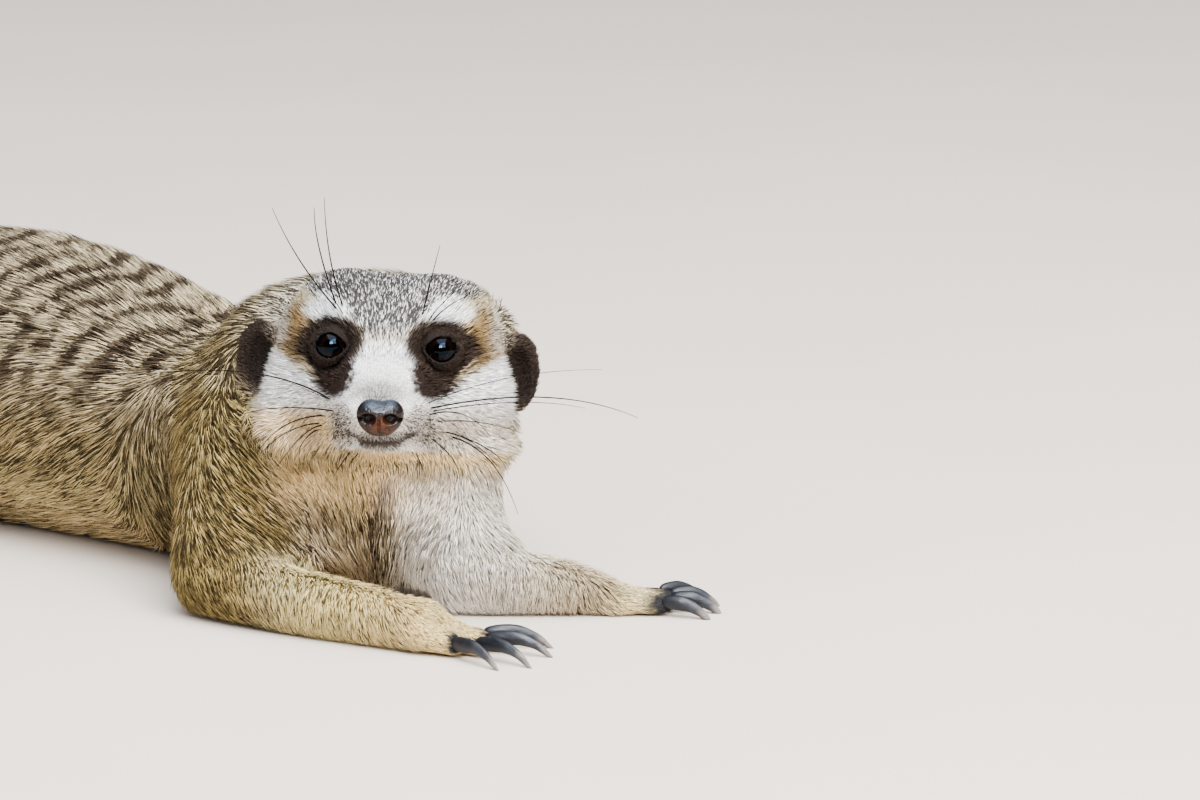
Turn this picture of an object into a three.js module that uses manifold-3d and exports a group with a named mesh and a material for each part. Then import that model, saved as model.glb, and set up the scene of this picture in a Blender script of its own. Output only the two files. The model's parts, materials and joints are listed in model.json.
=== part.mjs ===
// A life-size meerkat at rest on its belly, with its forelegs stretched out and its face turned to its right.
//
// Millimetres, +Z up. The forelegs point along +X and the face looks along -Y, so the trunk lies at a slant between
// them, with the rump towards -X and +Y. Lengths are first given with the eyes above the X and Y zero, on a floor
// at Z zero, and the whole model is moved at the end so that its origin is under the middle of its box.
//
// Every soft part is a loft: rings along a smooth path, each with its reach to the side, above and below. All sizes
// are to the tips of the coat. Neighbours are cut back from each other, so that each part is a solid of its own.
import * as THREE from "three";
import { mergeVertices } from "three/addons/utils/BufferGeometryUtils.js";
import Module from "manifold-3d";

const wasm = await Module();
wasm.setup();

// ---- Driving dimensions ----
const GAP = 0.3; // left between neighbouring parts
const FLOOR_SINK = 0.8; // how far soft parts reach below the floor before they are cut flat
const EYE_HEIGHT = 70; // the eyes above the floor
const EYE = { spread: 13.7, back: -2.9, radius: 4.9 }; // from the middle between the eyes
const HEAD_YAW = -0.03; // radians, the turn of the face away from -Y
const HEAD_ROLL = 0.03; // radians, the tilt of the face to its left

const UP = new THREE.Vector3(0, 0, 1);
const QUARTER = Math.PI / 2;

// ---- Materials ----
const finish = (color, roughness = 0.9) => new THREE.MeshStandardMaterial({ color, roughness, metalness: 0 });
const MATERIALS = {
  backFur: finish("#b3a084"),
  sideFur: finish("#c0a878"),
  paleFur: finish("#d9cbb0"),
  faceFur: finish("#dcd5ca"),
  darkFur: finish("#2b2320"),
  nose: finish("#3a2a28", 0.35),
  eye: finish("#160f0c", 0.06),
  claw: finish("#5a5657", 0.4),
};

// ---- Solids ----
// A closed geometry as a solid: only shared positions are kept.
function solidOf(geometry) {
  const bare = new THREE.BufferGeometry().setAttribute("position", geometry.getAttribute("position"));
  if (geometry.index) bare.setIndex(geometry.index);
  const merged = mergeVertices(bare, 1e-4);
  return new wasm.Manifold(
    new wasm.Mesh({
      numProp: 3,
      vertProperties: new Float32Array(merged.getAttribute("position").array),
      triVerts: new Uint32Array(merged.index.array),
    }),
  );
}

function geometryOf(solid) {
  const { vertProperties, triVerts } = solid.getMesh();
  const geometry = new THREE.BufferGeometry();
  geometry.setAttribute("position", new THREE.BufferAttribute(vertProperties, 3));
  geometry.setIndex(new THREE.BufferAttribute(triVerts, 1));
  geometry.computeVertexNormals();
  return geometry;
}

// The largest of the bodies that cutting left.
const largest = (solid) => solid.decompose().reduce((a, b) => (a.volume() > b.volume() ? a : b));

const cut = (solid, ...cutters) => largest(cutters.reduce((left, cutter) => left.subtract(cutter), solid));

const joined = (solids) => solids.reduce((sum, solid) => sum.add(solid));

const FLOOR = solidOf(new THREE.BoxGeometry(2000, 2000, 200).translate(0, 0, -100));

// ---- Lofts ----
// One ring: its centre, and how far the surface lies to each side, above and below. Swells are added round it.
const ring = (x, y, z, side, above, below = above, swells = [0, 0, 0]) => ({
  at: new THREE.Vector3(x, y, z),
  size: new THREE.Vector3(side, above, below),
  swell: new THREE.Vector3(...swells),
});

// A ring of a part that lies on the floor, from its centre, its half width and its height.
const lying = (x, y, side, top, share = 0.5) =>
  ring(x, y, top * share, side, top * (1 - share), top * share + FLOOR_SINK);

// Returns a function that gives the closed geometry, thicker by grow all over.
// sides: points round a ring. steps: rings between two given ones. up: which way "above" is.
// square: 2 is an ellipse, more is boxier. ends: the length of each rounded end, as a share of the ring's size.
// swells: where round the ring, as angles from its side with their widths, the rings' three swells are added.
function loft(rings, options = {}) {
  const { sides = 10, steps = 2, up = UP, square = 2, ends = [0.8, 0.8], capRings = 3, swells = [] } = options;
  const path = new THREE.CatmullRomCurve3(rings.map((r) => r.at));
  const sizes = new THREE.CatmullRomCurve3(rings.map((r) => r.size));
  const bumps = new THREE.CatmullRomCurve3(rings.map((r) => r.swell));
  const spans = (rings.length - 1) * steps;
  return (grow = 0) => {
    const sections = [];
    const section = (u, beyond = 0, scale = 1) => {
      const tangent = path.getTangent(u);
      const size = sizes.getPoint(u).addScalar(grow).multiplyScalar(scale);
      const bump = bumps.getPoint(u).multiplyScalar(scale);
      sections.push({ centre: path.getPoint(u).addScaledVector(tangent, beyond), tangent, size, bump });
    };
    const reach = (u) => {
      const s = sizes.getPoint(u);
      return (s.x + (s.y + s.z) / 2) / 2;
    };
    const [startLength, endLength] = [reach(0) * ends[0] + grow, reach(1) * ends[1] + grow];
    for (let k = capRings - 1; k > 0; k--) {
      const angle = (k / capRings) * QUARTER;
      section(0, -startLength * Math.sin(angle), Math.cos(angle));
    }
    for (let i = 0; i <= spans; i++) section(i / spans);
    for (let k = 1; k < capRings; k++) {
      const angle = (k / capRings) * QUARTER;
      section(1, endLength * Math.sin(angle), Math.cos(angle));
    }

    const points = [];
    const faces = [];
    for (const { centre, tangent, size, bump } of sections) {
      const side = new THREE.Vector3().crossVectors(tangent, up).normalize();
      const top = new THREE.Vector3().crossVectors(side, tangent);
      for (let j = 0; j < sides; j++) {
        const angle = (j / sides) * 2 * Math.PI;
        const [c, s] = [Math.cos(angle), Math.sin(angle)];
        const fromSide = Math.atan2(s, Math.abs(c));
        const out = swells.reduce(
          (sum, { at, width }, k) => sum + bump.getComponent(k) * Math.exp(-(((fromSide - at) / width) ** 2)),
          0,
        );
        const across = Math.sign(c) * Math.abs(c) ** (2 / square) * size.x + c * out;
        const high = Math.sign(s) * Math.abs(s) ** (2 / square) * (s > 0 ? size.y : size.z) + s * out;
        points.push(centre.clone().addScaledVector(side, across).addScaledVector(top, high));
      }
    }
    const first = points.push(path.getPoint(0).addScaledVector(path.getTangent(0), -startLength)) - 1;
    const last = points.push(path.getPoint(1).addScaledVector(path.getTangent(1), endLength)) - 1;
    for (let i = 0; i < sections.length - 1; i++) {
      for (let j = 0; j < sides; j++) {
        const [a, b] = [i * sides + j, i * sides + ((j + 1) % sides)];
        faces.push(a + sides, b + sides, b, a + sides, b, a);
      }
    }
    const end = (sections.length - 1) * sides;
    for (let j = 0; j < sides; j++) {
      const next = (j + 1) % sides;
      faces.push(first, j, next);
      faces.push(last, end + next, end + j);
    }
    const geometry = new THREE.BufferGeometry().setFromPoints(points);
    geometry.setIndex(faces);
    return geometry;
  };
}

// An ellipsoid bulge, as a function of how much thicker it is made.
const bulge = (x, y, z, rx, ry, rz, detail = 10) => (grow = 0) =>
  new THREE.SphereGeometry(1, detail, detail / 2)
    .scale(rx + grow, ry + grow, rz + grow)
    .translate(x, y, z);

// A shape that joins several forms, placed by a matrix.
const shape = (forms, matrix = new THREE.Matrix4()) => (grow = 0) =>
  joined(forms.map((form) => solidOf(form(grow).applyMatrix4(matrix))));

// Parts one solid in two or more by thin cuts across a path, and returns the pieces in order along +direction.
function parted(solid, cuts, direction) {
  const slabs = cuts.map(({ at, across }) => {
    const turn = new THREE.Quaternion().setFromUnitVectors(UP, across.clone().normalize());
    const slab = new THREE.BoxGeometry(300, 300, GAP);
    return solidOf(slab.applyMatrix4(new THREE.Matrix4().compose(at, turn, new THREE.Vector3(1, 1, 1))));
  });
  const centre = (piece) => {
    const { min, max } = piece.boundingBox();
    return new THREE.Vector3(...min).add(new THREE.Vector3(...max)).dot(direction);
  };
  return slabs
    .reduce((left, slab) => left.subtract(slab), solid)
    .decompose()
    .sort((a, b) => b.volume() - a.volume())
    .slice(0, cuts.length + 1)
    .sort((a, b) => centre(a) - centre(b));
}

// ---- Head ----
// Head measures start from the middle between the eyes. -Y is forwards, out through the nose.
const headMatrix = new THREE.Matrix4().compose(
  new THREE.Vector3(0, 0, EYE_HEIGHT),
  new THREE.Quaternion().setFromEuler(new THREE.Euler(0, HEAD_ROLL, HEAD_YAW)),
  new THREE.Vector3(1, 1, 1),
);

// The rings' swells are the cheek and lip, the brow, and the dip along the crown.
const skull = loft(
  [
    ring(0, 34, -9, 21, 16, 16, [0, 0, 0]),
    ring(0, 26, -7.5, 28, 22, 19, [4, 2.4, -1.6]),
    ring(0, 15, -8, 29.5, 25.6, 18.5, [8.5, 2.9, -3.6]),
    ring(0, 5, -8.5, 25.5, 24.2, 16, [8, 1.8, -3]),
    ring(0, -4, -9.5, 18, 17.6, 13, [4, 1.6, -1.6]),
    ring(0, -12, -10.5, 12.6, 11, 10.5, [1.5, 0.5, 0]),
    ring(0, -20, -11, 9.8, 8.2, 8, [2.2, 0, 0]),
    ring(0, -27, -11.5, 7.8, 5.8, 6, [1.4, 0, 0]),
  ],
  {
    sides: 18,
    square: 2.1,
    ends: [0.5, 0.45],
    capRings: 2,
    swells: [
      { at: -0.58, width: 0.58 },
      { at: 0.85, width: 0.4 },
      { at: 1.57, width: 0.25 },
    ],
  },
);
const jaw = loft([ring(0, 8, -22, 13, 6, 5.5), ring(0, -6, -21, 10.5, 5, 4.5), ring(0, -20, -19.2, 6.2, 3.2, 3)], {
  sides: 10,
  steps: 1,
  ends: [0.6, 0.7],
});
const nose = loft([ring(0, -27.5, -10, 4.8, 3.6, 4.6), ring(0, -31.5, -10.9, 5.9, 4.5, 5)], {
  sides: 10,
  square: 2.3,
  steps: 1,
  ends: [0.3, 0.4],
  capRings: 2,
});

const eyeball = (s) => bulge(s * EYE.spread, EYE.back, 0, EYE.radius, EYE.radius, EYE.radius);
// The hollow in front of an eye, in which the lids lie.
const socket = (s) => bulge(s * EYE.spread * 1.04, EYE.back - 5.8, -0.2, 5.8, 6.6, 5.2);

// An ear is a low cup on the side of the head, open to the front.
const EAR = { back: 18, reach: 6.6, deep: 5.5, tall: 11.2, wall: 1.6 };
const EARS = { right: { side: -1, out: 32.6, up: -9 }, left: { side: 1, out: 31.2, up: -9.9 } };
const earShell = ({ side, out, up }) => bulge(side * out, EAR.back, up, EAR.reach, EAR.deep, EAR.tall);
const earHollow = ({ side, out, up }) =>
  bulge(
    side * (out + 0.6),
    EAR.back - EAR.deep * 0.75,
    up - 0.5,
    EAR.reach - EAR.wall,
    EAR.deep,
    EAR.tall - EAR.wall,
  );

const wholeHead = shape([skull, jaw, nose, ...Object.values(EARS).map(earShell)], headMatrix);

// The longest whiskers and brow bristles, which give the head its full reach. Each runs from inside the skin to its
// tip, and bows off that line sideways and upwards.
const WHISKER = { root: 0.42, tip: 0.34 };
const WHISKERS = {
  whisker_right: [
    { from: [-9.5, -19, -10.9], to: [-61, 2, -9.7], bow: [0, 4.4] },
    { from: [-9.5, -20, -14.3], to: [-32.3, -8, -27.4], bow: [0, 3.5] },
    { from: [-9.5, -19.5, -17], to: [-27, -10, -30], bow: [0, 2.6] },
  ],
  whisker_left: [
    { from: [9.5, -19, -11.3], to: [63.3, 2, -16.8], bow: [0, 4] },
    { from: [9.5, -20, -17.1], to: [28.2, -10, -27.9], bow: [0, 1.8] },
    { from: [10, -17, -18], to: [33.7, -8, -40.7], bow: [0, 4] },
  ],
  brow_bristle_right: [
    { from: [-11, 1.5, 6], to: [-29.3, -3, 34.6], bow: [0, -1.5] },
    { from: [-10.5, 1.5, 6.6], to: [-18.8, -3, 35.1], bow: [-2, 0] },
    { from: [-9.3, 1.5, 7], to: [-16.3, -3, 37.7], bow: [-1.7, 0] },
  ],
  brow_bristle_left: [{ from: [8.7, 1.5, 6], to: [12.9, -3, 26.7], bow: [0, 0] }],
};
const whisker = ({ from, to, bow: [sideways, upwards] }) => {
  const rings = [0, 0.5, 1].map((t) => {
    const off = 4 * t * (1 - t);
    const at = new THREE.Vector3(...from).lerp(new THREE.Vector3(...to), t);
    const radius = THREE.MathUtils.lerp(WHISKER.root, WHISKER.tip, t);
    return ring(at.x + off * sideways, at.y, at.z + off * upwards, radius, radius);
  });
  return loft(rings, { sides: 3, steps: 2, up: new THREE.Vector3(0, -1, 0), ends: [1, 2], capRings: 1 });
};

// ---- Trunk and neck ----
const trunk = shape([
  loft(
    [
      lying(-1, 15, 20, 48, 0.58),
      lying(-13, 35, 31, 57, 0.56),
      lying(-38, 60, 36, 58.4, 0.52),
      lying(-70, 87, 38, 70.6, 0.5),
      lying(-98, 108, 39.5, 77, 0.48),
      lying(-124, 125, 39, 76, 0.48),
      lying(-148, 136, 34, 68, 0.5),
      lying(-168, 142, 22, 52, 0.52),
    ],
    { sides: 16, square: 2.15, ends: [0.5, 0.5], capRings: 2 },
  ),
]);

const neck = shape([
  loft(
    [
      ring(2, 14, 61, 28, 17, 18),
      ring(2.5, 27, 62, 34.5, 20, 20),
      ring(-10, 38, 60.5, 32.5, 20.3, 22),
      ring(-22, 47, 56.5, 32, 21, 24),
      ring(-33, 56, 50, 29, 14.5, 24),
      ring(-46, 67, 42, 26, 14, 24),
    ],
    { sides: 12, steps: 1, square: 2.2, ends: [0.3, 0.5], capRings: 1 },
  ),
]);

// ---- Legs ----
// Each leg is given by its joints. A foot starts at the wrist or heel and points along its heading, in radians.
const FORE = {
  right: {
    shoulder: [-36, 28, 46],
    elbow: [-47, 0, 12],
    wrist: [11, -34, 0],
    heading: -0.35,
    heights: [20, 18.6, 16.2, 15, 14],
  },
  left: {
    shoulder: [13, 36, 43],
    elbow: [17, 5, 12],
    wrist: [59, 4, 0],
    heading: 0.05,
    heights: [20, 18.2, 15.4, 13.4, 9],
  },
};
const HIND = {
  right: { hip: [-163, 114, 43], knee: [-128, 86, 23], heel: [-172, 107, 0], heading: -0.62 },
  left: { hip: [-134, 159, 43], knee: [-89, 152, 23], heel: [-137, 169, 0], heading: -0.43 },
};

const between = (a, b, t) => new THREE.Vector3(...a).lerp(new THREE.Vector3(...b), t);
// A ring on the line from one joint to another.
const along = (a, b, t, side, above, below = above) => ring(...between(a, b, t), side, above, below);
// A ring above that line's track on the floor, with its half width and height.
const lyingAlong = (a, b, t, side, top, share) => lying(...between(a, b, t).toArray().slice(0, 2), side, top, share);

const upperArm = ({ shoulder, elbow }) =>
  loft(
    [
      along(shoulder, elbow, -0.25, 13, 13),
      along(shoulder, elbow, 0.05, 17, 17),
      along(shoulder, elbow, 0.45, 15.5, 16),
      along(shoulder, elbow, 0.8, 12, 13),
      along(shoulder, elbow, 1.05, 8, 8.5),
    ],
    { steps: 1, up: new THREE.Vector3(0, -1, 0.3).normalize(), ends: [0.7, 0.6], capRings: 2 },
  );

// How far along the forearm each height is taken, and its half width there.
const FOREARM_RINGS = [
  { t: -0.04, half: 10.5 },
  { t: 0.2, half: 10.6 },
  { t: 0.46, half: 9.6 },
  { t: 0.72, half: 8.6 },
  { t: 0.95, half: 7.8 },
];
const forearm = ({ elbow, wrist, heights }) =>
  loft(
    FOREARM_RINGS.map(({ t, half }, i) => lyingAlong(elbow, wrist, t, half, heights[i])),
    { steps: 1, ends: [0.7, 0.3], capRings: 2 },
  );

const thigh = ({ hip, knee }) =>
  loft(
    [
      along(hip, knee, -0.2, 12, 18),
      along(hip, knee, 0.15, 14.5, 21.5),
      along(hip, knee, 0.6, 13.5, 18.5),
      along(hip, knee, 1, 10.5, 12.5),
    ],
    { steps: 1, ends: [0.8, 0.8], capRings: 2 },
  );

const shank = ({ knee, heel }) => {
  const ankle = [heel[0], heel[1], 9];
  return loft([along(knee, ankle, 0.1, 7, 8), along(knee, ankle, 0.5, 8.6, 9.6), along(knee, ankle, 1, 7, 6.5, 9.5)], {
    steps: 1,
    ends: [0.8, 0.7],
    capRings: 2,
  });
};

// ---- Feet ----
// Measures of a foot start from its wrist or heel, with +X along the heading. Each toe is given by where its claw
// starts and by its own heading; they run from the foot's right to its left.
const FEET = {
  forefoot_right: {
    palm: [lying(-1.5, 0, 8.2, 13.6), lying(4, 1, 8.3, 9.4), lying(9, 2, 8.6, 6.8)],
    toes: [
      { x: 10.4, y: -5.4, heading: -0.46 },
      { x: 16.4, y: -2.6, heading: -0.3 },
      { x: 17.2, y: 3.6, heading: 0.06 },
      { x: 14.8, y: 8.6, heading: 0.3 },
    ],
    toe: { length: 9, radius: 3, top: 6.2 },
    claw: { length: 15, height: 3.9, pitch: -0.04 },
  },
  forefoot_left: {
    palm: [lying(-1.5, 0, 7.9, 8), lying(4, 0, 8, 5.8), lying(9, 0, 8.6, 5.6)],
    toes: [
      { x: 12.8, y: -7, heading: -0.3 },
      { x: 15.6, y: -2.6, heading: -0.12 },
      { x: 15.6, y: 2.6, heading: 0.06 },
      { x: 12.8, y: 7.2, heading: 0.3 },
    ],
    toe: { length: 8, radius: 2.8, top: 6.2 },
    claw: { length: 12, height: 4, pitch: 0.2 },
  },
};
const hindfoot = {
  palm: [lying(-3, 0, 6.6, 15), lying(16, 0, 7.4, 11.5), lying(33, 0, 8.4, 8.4)],
  toes: [
    { x: 38, y: -6.8, heading: -0.16 },
    { x: 42, y: -2.4, heading: -0.05 },
    { x: 42, y: 2.4, heading: 0.05 },
    { x: 38, y: 6.8, heading: 0.16 },
  ],
  toe: { length: 9, radius: 2.5, top: 7.4 },
  claw: { length: 10.5, height: 3.9, pitch: -0.05 },
};
FEET.hindfoot_right = hindfoot;
FEET.hindfoot_left = hindfoot;

const palm = (foot) => loft(foot.palm, { sides: 8, steps: 1, square: 2.3, ends: [0.5, 0.5], capRings: 2 });

const toe = ({ toe: { length, radius, top } }, { x, y, heading }) => {
  const ringBack = (back, width, height) =>
    lying(x - back * Math.cos(heading), y - back * Math.sin(heading), width, height);
  return loft([ringBack(length, radius, top), ringBack(2.6, radius, top), ringBack(0.6, radius * 0.75, top * 0.86)], {
    sides: 6,
    steps: 1,
    ends: [0.3, 0.3],
    capRings: 1,
  });
};

// A claw curves from its root forwards and down to a blunt point. Its origin is at the root's middle.
const CLAW_TURN = { start: -0.25, whole: 1.15 }; // radians: its rise at the root, and how far it turns down
const CLAW_RINGS = [
  { share: 0, thick: 2.5 },
  { share: 0.35, thick: 2.2 },
  { share: 0.7, thick: 1.45 },
  { share: 1, thick: 0.65 },
];
function claw({ length }) {
  const { start, whole } = CLAW_TURN;
  const bend = length / whole;
  const rings = CLAW_RINGS.map(({ share, thick }) => {
    const angle = start + share * whole;
    const x = bend * (Math.sin(angle) - Math.sin(start));
    const z = bend * (Math.cos(angle) - Math.cos(start));
    return ring(x, 0, z, thick * 0.62, thick, thick * 0.85);
  });
  return loft(rings, { sides: 5, steps: 1, ends: [0.8, 0.9], capRings: 1 });
}

const clawMatrix = ({ claw: { height, pitch } }, { x, y, heading }) =>
  new THREE.Matrix4().compose(
    new THREE.Vector3(x, y, height),
    new THREE.Quaternion().setFromEuler(new THREE.Euler(0, pitch, heading, "ZYX")),
    new THREE.Vector3(1, 1, 1),
  );

// ---- Tail ----
const tail = shape([
  loft(
    [
      ring(-160, 139, 28, 11.5, 12.5, 13),
      ring(-184, 146, 16.5, 11, 11.5, 13),
      lying(-206, 144, 9, 18),
      lying(-225, 128, 8, 15.5),
      lying(-235, 103, 7.2, 14),
      lying(-235, 76, 6.3, 12.2),
      lying(-227, 50, 5.3, 10.4),
      lying(-216, 27, 4.2, 8.4),
      lying(-207, 10, 2.8, 5.6),
    ],
    { sides: 10, steps: 1, ends: [0.5, 1.2], capRings: 2 },
  ),
]);

// ---- Assembly ----
const meerkat = new THREE.Group();

function add(name, solid, material, group = meerkat) {
  const mesh = new THREE.Mesh(geometryOf(solid), material);
  mesh.name = name;
  group.add(mesh);
  return mesh;
}

function addHead() {
  const group = new THREE.Group();
  group.applyMatrix4(headMatrix);
  meerkat.add(group);
  const jawSolid = solidOf(jaw());
  const cutters = [jaw, nose, ...Object.values(EARS).map(earShell), ...[-1, 1].map(eyeball)].map((form) =>
    solidOf(form(GAP)),
  );
  const sockets = [-1, 1].map((s) => solidOf(socket(s)()));
  const [muzzle, head] = parted(
    cut(solidOf(skull()), ...cutters, ...sockets),
    [{ at: new THREE.Vector3(0, -13, 0), across: new THREE.Vector3(0, 1, 0.2) }],
    new THREE.Vector3(0, 1, 0),
  );
  add("head", head, MATERIALS.faceFur, group);
  add("muzzle", muzzle, MATERIALS.faceFur, group);
  add("lower_jaw", jawSolid, MATERIALS.paleFur, group);
  add("nose", cut(solidOf(nose()), solidOf(jaw(GAP))), MATERIALS.nose, group);
  const face = [skull, jaw, nose].map((form) => solidOf(form(GAP)));
  for (const [name, places] of Object.entries(WHISKERS)) {
    places.forEach((place, i) => {
      add(`${name}_${i + 1}`, cut(solidOf(whisker(place)()), ...face), MATERIALS.darkFur, group);
    });
  }
  for (const [side, ear] of Object.entries(EARS)) {
    add(`eye_${side}`, solidOf(eyeball(ear.side)()), MATERIALS.eye, group);
    add(`ear_${side}`, cut(solidOf(earShell(ear)()), solidOf(earHollow(ear)())), MATERIALS.darkFur, group);
  }
}

// Adds one foot with its claws, and returns the foot's solid as a function of grow, where it stands.
function addFoot(name, [x, y], heading) {
  const foot = FEET[name];
  const group = new THREE.Group();
  group.position.set(x, y, 0);
  group.rotation.z = heading;
  group.updateMatrix();
  meerkat.add(group);
  const forms = [palm(foot), ...foot.toes.map((at) => toe(foot, at))];
  const clawForm = claw(foot.claw);
  const roots = foot.toes.map((at) => solidOf(clawForm(GAP).applyMatrix4(clawMatrix(foot, at))));
  add(name, cut(joined(forms.map((form) => solidOf(form()))), FLOOR, ...roots), MATERIALS.paleFur, group);
  foot.toes.forEach((at, i) => {
    const matrix = clawMatrix(foot, at);
    const solid = cut(solidOf(clawForm().applyMatrix4(matrix)), FLOOR);
    add(`${name}_claw_${i + 1}`, solid, MATERIALS.claw, group);
  });
  return shape(forms, group.matrix);
}

function addForeleg(side) {
  const leg = FORE[side];
  const foot = addFoot(`forefoot_${side}`, leg.wrist, leg.heading);
  const lower = shape([forearm(leg)]);
  const upper = shape([upperArm(leg)]);
  add(`forearm_${side}`, cut(lower(), foot(GAP), trunk(GAP), FLOOR), MATERIALS.paleFur);
  add(`upper_arm_${side}`, cut(upper(), lower(GAP), trunk(GAP), neck(GAP), wholeHead(GAP)), MATERIALS.sideFur);
}

function addHindLeg(side) {
  const leg = HIND[side];
  const foot = addFoot(`hindfoot_${side}`, leg.heel, leg.heading);
  const lower = shape([shank(leg)]);
  const upper = shape([thigh(leg)]);
  add(`shank_${side}`, cut(lower(), foot(GAP), trunk(GAP), upper(GAP), FLOOR), MATERIALS.sideFur);
  add(`thigh_${side}`, cut(upper(), foot(GAP), trunk(GAP), FLOOR), MATERIALS.sideFur);
}

function addTrunk() {
  const cuts = [
    { at: new THREE.Vector3(-48, 68, 38), across: new THREE.Vector3(-0.75, 0.66, 0) },
    { at: new THREE.Vector3(-122, 124, 38), across: new THREE.Vector3(-0.86, 0.5, 0) },
  ];
  const [rump, belly, chest] = parted(cut(trunk(), FLOOR), cuts, new THREE.Vector3(1, 0, 0));
  add("chest", cut(chest, wholeHead(GAP)), MATERIALS.backFur);
  add("belly", belly, MATERIALS.backFur);
  add("rump", cut(rump, tail(GAP)), MATERIALS.backFur);
  add("neck", cut(neck(), wholeHead(GAP), trunk(GAP)), MATERIALS.backFur);
}

function addTail() {
  const cuts = [
    { at: new THREE.Vector3(-216, 138, 8), across: new THREE.Vector3(-0.77, -0.64, 0) },
    { at: new THREE.Vector3(-236, 82, 6), across: new THREE.Vector3(0, -1, 0) },
  ];
  const pieces = parted(cut(tail(), FLOOR), cuts, new THREE.Vector3(0, -1, 0));
  ["base", "middle", "tip"].forEach((name, i) => add(`tail_${name}`, pieces[i], MATERIALS.sideFur));
}

addHead();
addTrunk();
addTail();
["right", "left"].forEach(addForeleg);
["right", "left"].forEach(addHindLeg);

// The origin goes under the middle of the box.
meerkat.updateMatrixWorld(true);
const middle = new THREE.Box3().setFromObject(meerkat).getCenter(new THREE.Vector3());
meerkat.position.set(-middle.x, -middle.y, 0);

export default meerkat;
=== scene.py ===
# %% [markdown]
# # A meerkat resting on its belly
#
# This lesson dresses the plain solids of a life-size meerkat: one skin over the whole body, a coat of
# almost a quarter of a million small tufts, wet eyes, a leathery nose, horn claws and long whiskers.
# Everything is placed from the solids themselves, so the dressed animal has their size and pose.

import json
import math
from types import SimpleNamespace

import bmesh
import bpy
import numpy as np
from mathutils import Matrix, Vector
from mathutils.bvhtree import BVHTree

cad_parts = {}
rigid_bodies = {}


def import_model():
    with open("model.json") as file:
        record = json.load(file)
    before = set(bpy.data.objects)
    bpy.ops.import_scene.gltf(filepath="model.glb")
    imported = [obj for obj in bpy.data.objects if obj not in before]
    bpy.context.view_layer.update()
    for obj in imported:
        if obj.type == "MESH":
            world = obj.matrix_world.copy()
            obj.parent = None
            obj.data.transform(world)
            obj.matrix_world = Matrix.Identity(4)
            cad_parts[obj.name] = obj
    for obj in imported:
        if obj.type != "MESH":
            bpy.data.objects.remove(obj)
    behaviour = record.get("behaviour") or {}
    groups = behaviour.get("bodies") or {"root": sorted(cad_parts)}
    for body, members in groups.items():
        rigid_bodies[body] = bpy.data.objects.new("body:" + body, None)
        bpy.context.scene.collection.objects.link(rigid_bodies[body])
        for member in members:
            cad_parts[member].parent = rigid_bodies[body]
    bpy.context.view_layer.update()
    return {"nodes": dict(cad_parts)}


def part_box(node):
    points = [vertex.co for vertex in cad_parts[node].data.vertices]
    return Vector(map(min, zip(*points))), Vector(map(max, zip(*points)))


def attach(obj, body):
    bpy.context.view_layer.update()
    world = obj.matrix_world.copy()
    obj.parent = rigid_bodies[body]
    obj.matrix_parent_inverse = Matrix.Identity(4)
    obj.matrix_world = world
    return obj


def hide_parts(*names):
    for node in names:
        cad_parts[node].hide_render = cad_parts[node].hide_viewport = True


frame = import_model()
MM = 0.001
draw = np.random.default_rng(7)

# %% [markdown]
# ## The head's own measures
#
# Markings, lids and whiskers are easiest to place in the head's own frame: millimetres from the middle
# between the eyes, with X to the animal's left, Y to the back of the head and Z to the crown. The face is
# seen from a little above, so places on it are measured along and across that line of sight.

# %% The head's frame
def unit(v):
    return v / np.maximum(np.linalg.norm(v, axis=-1, keepdims=True), 1e-9)


def middle(name):
    low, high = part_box(name)
    return np.array((low + high) / 2)


EYE_AT = {side: middle("eye_" + side) for side in ("right", "left")}
HEAD_AT = (EYE_AT["right"] + EYE_AT["left"]) / 2
HEAD_X = unit(EYE_AT["left"] - EYE_AT["right"])
HEAD_Y = unit(np.cross((0, 0, 1), HEAD_X))
HEAD_AXES = np.array([HEAD_X, HEAD_Y, np.cross(HEAD_X, HEAD_Y)])
EYE_SPREAD = np.linalg.norm(EYE_AT["left"] - EYE_AT["right"]) / 2 / MM
FACE_TIP = math.radians(13)  # how far the line of sight to the face points down


def in_head(points):
    return (points - HEAD_AT) @ HEAD_AXES.T / MM


def from_head(points):
    return np.asarray(points) * MM @ HEAD_AXES + HEAD_AT


def on_face(h):
    """Place on the face as it is seen from a little above: X to the animal's left, and height."""
    return h[:, 0], h[:, 2] * math.cos(FACE_TIP) + h[:, 1] * math.sin(FACE_TIP)


print("eyes", round(2 * EYE_SPREAD, 1), "mm apart")

# %% [markdown]
# ## Camera
#
# The animal is looked at from the front with a long lens, a little from above. A long lens far away keeps
# the head and the body behind it in their true proportions. The view is wide enough for the room in front
# of the animal.

# %% Camera
VIEW_DOWN = math.radians(13)
VIEW_FROM = 1500  # millimetres from the face to the camera
AIM = (53.4, -13.1)  # the middle of the view in millimetres, to the right of the eyes and below them
LENS = 180
FILM_WIDE = 36


def placed(name, data):
    """A new object in the scene."""
    made = bpy.data.objects.new(name, data)
    bpy.context.scene.collection.objects.link(made)
    return made


look = Vector((0, math.cos(VIEW_DOWN), -math.sin(VIEW_DOWN)))
view_up = Vector((0, math.sin(VIEW_DOWN), math.cos(VIEW_DOWN)))
aim = Vector(HEAD_AT) + (Vector((1, 0, 0)) * AIM[0] + view_up * AIM[1]) * MM
camera = placed("Camera", bpy.data.cameras.new("Camera"))
camera.data.lens = LENS
camera.data.sensor_width = FILM_WIDE
camera.location = aim - look * VIEW_FROM * MM
camera.rotation_euler = look.to_track_quat("-Z", "Y").to_euler()
bpy.context.scene.camera = camera
print("camera at", [round(c, 3) for c in camera.location])

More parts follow.
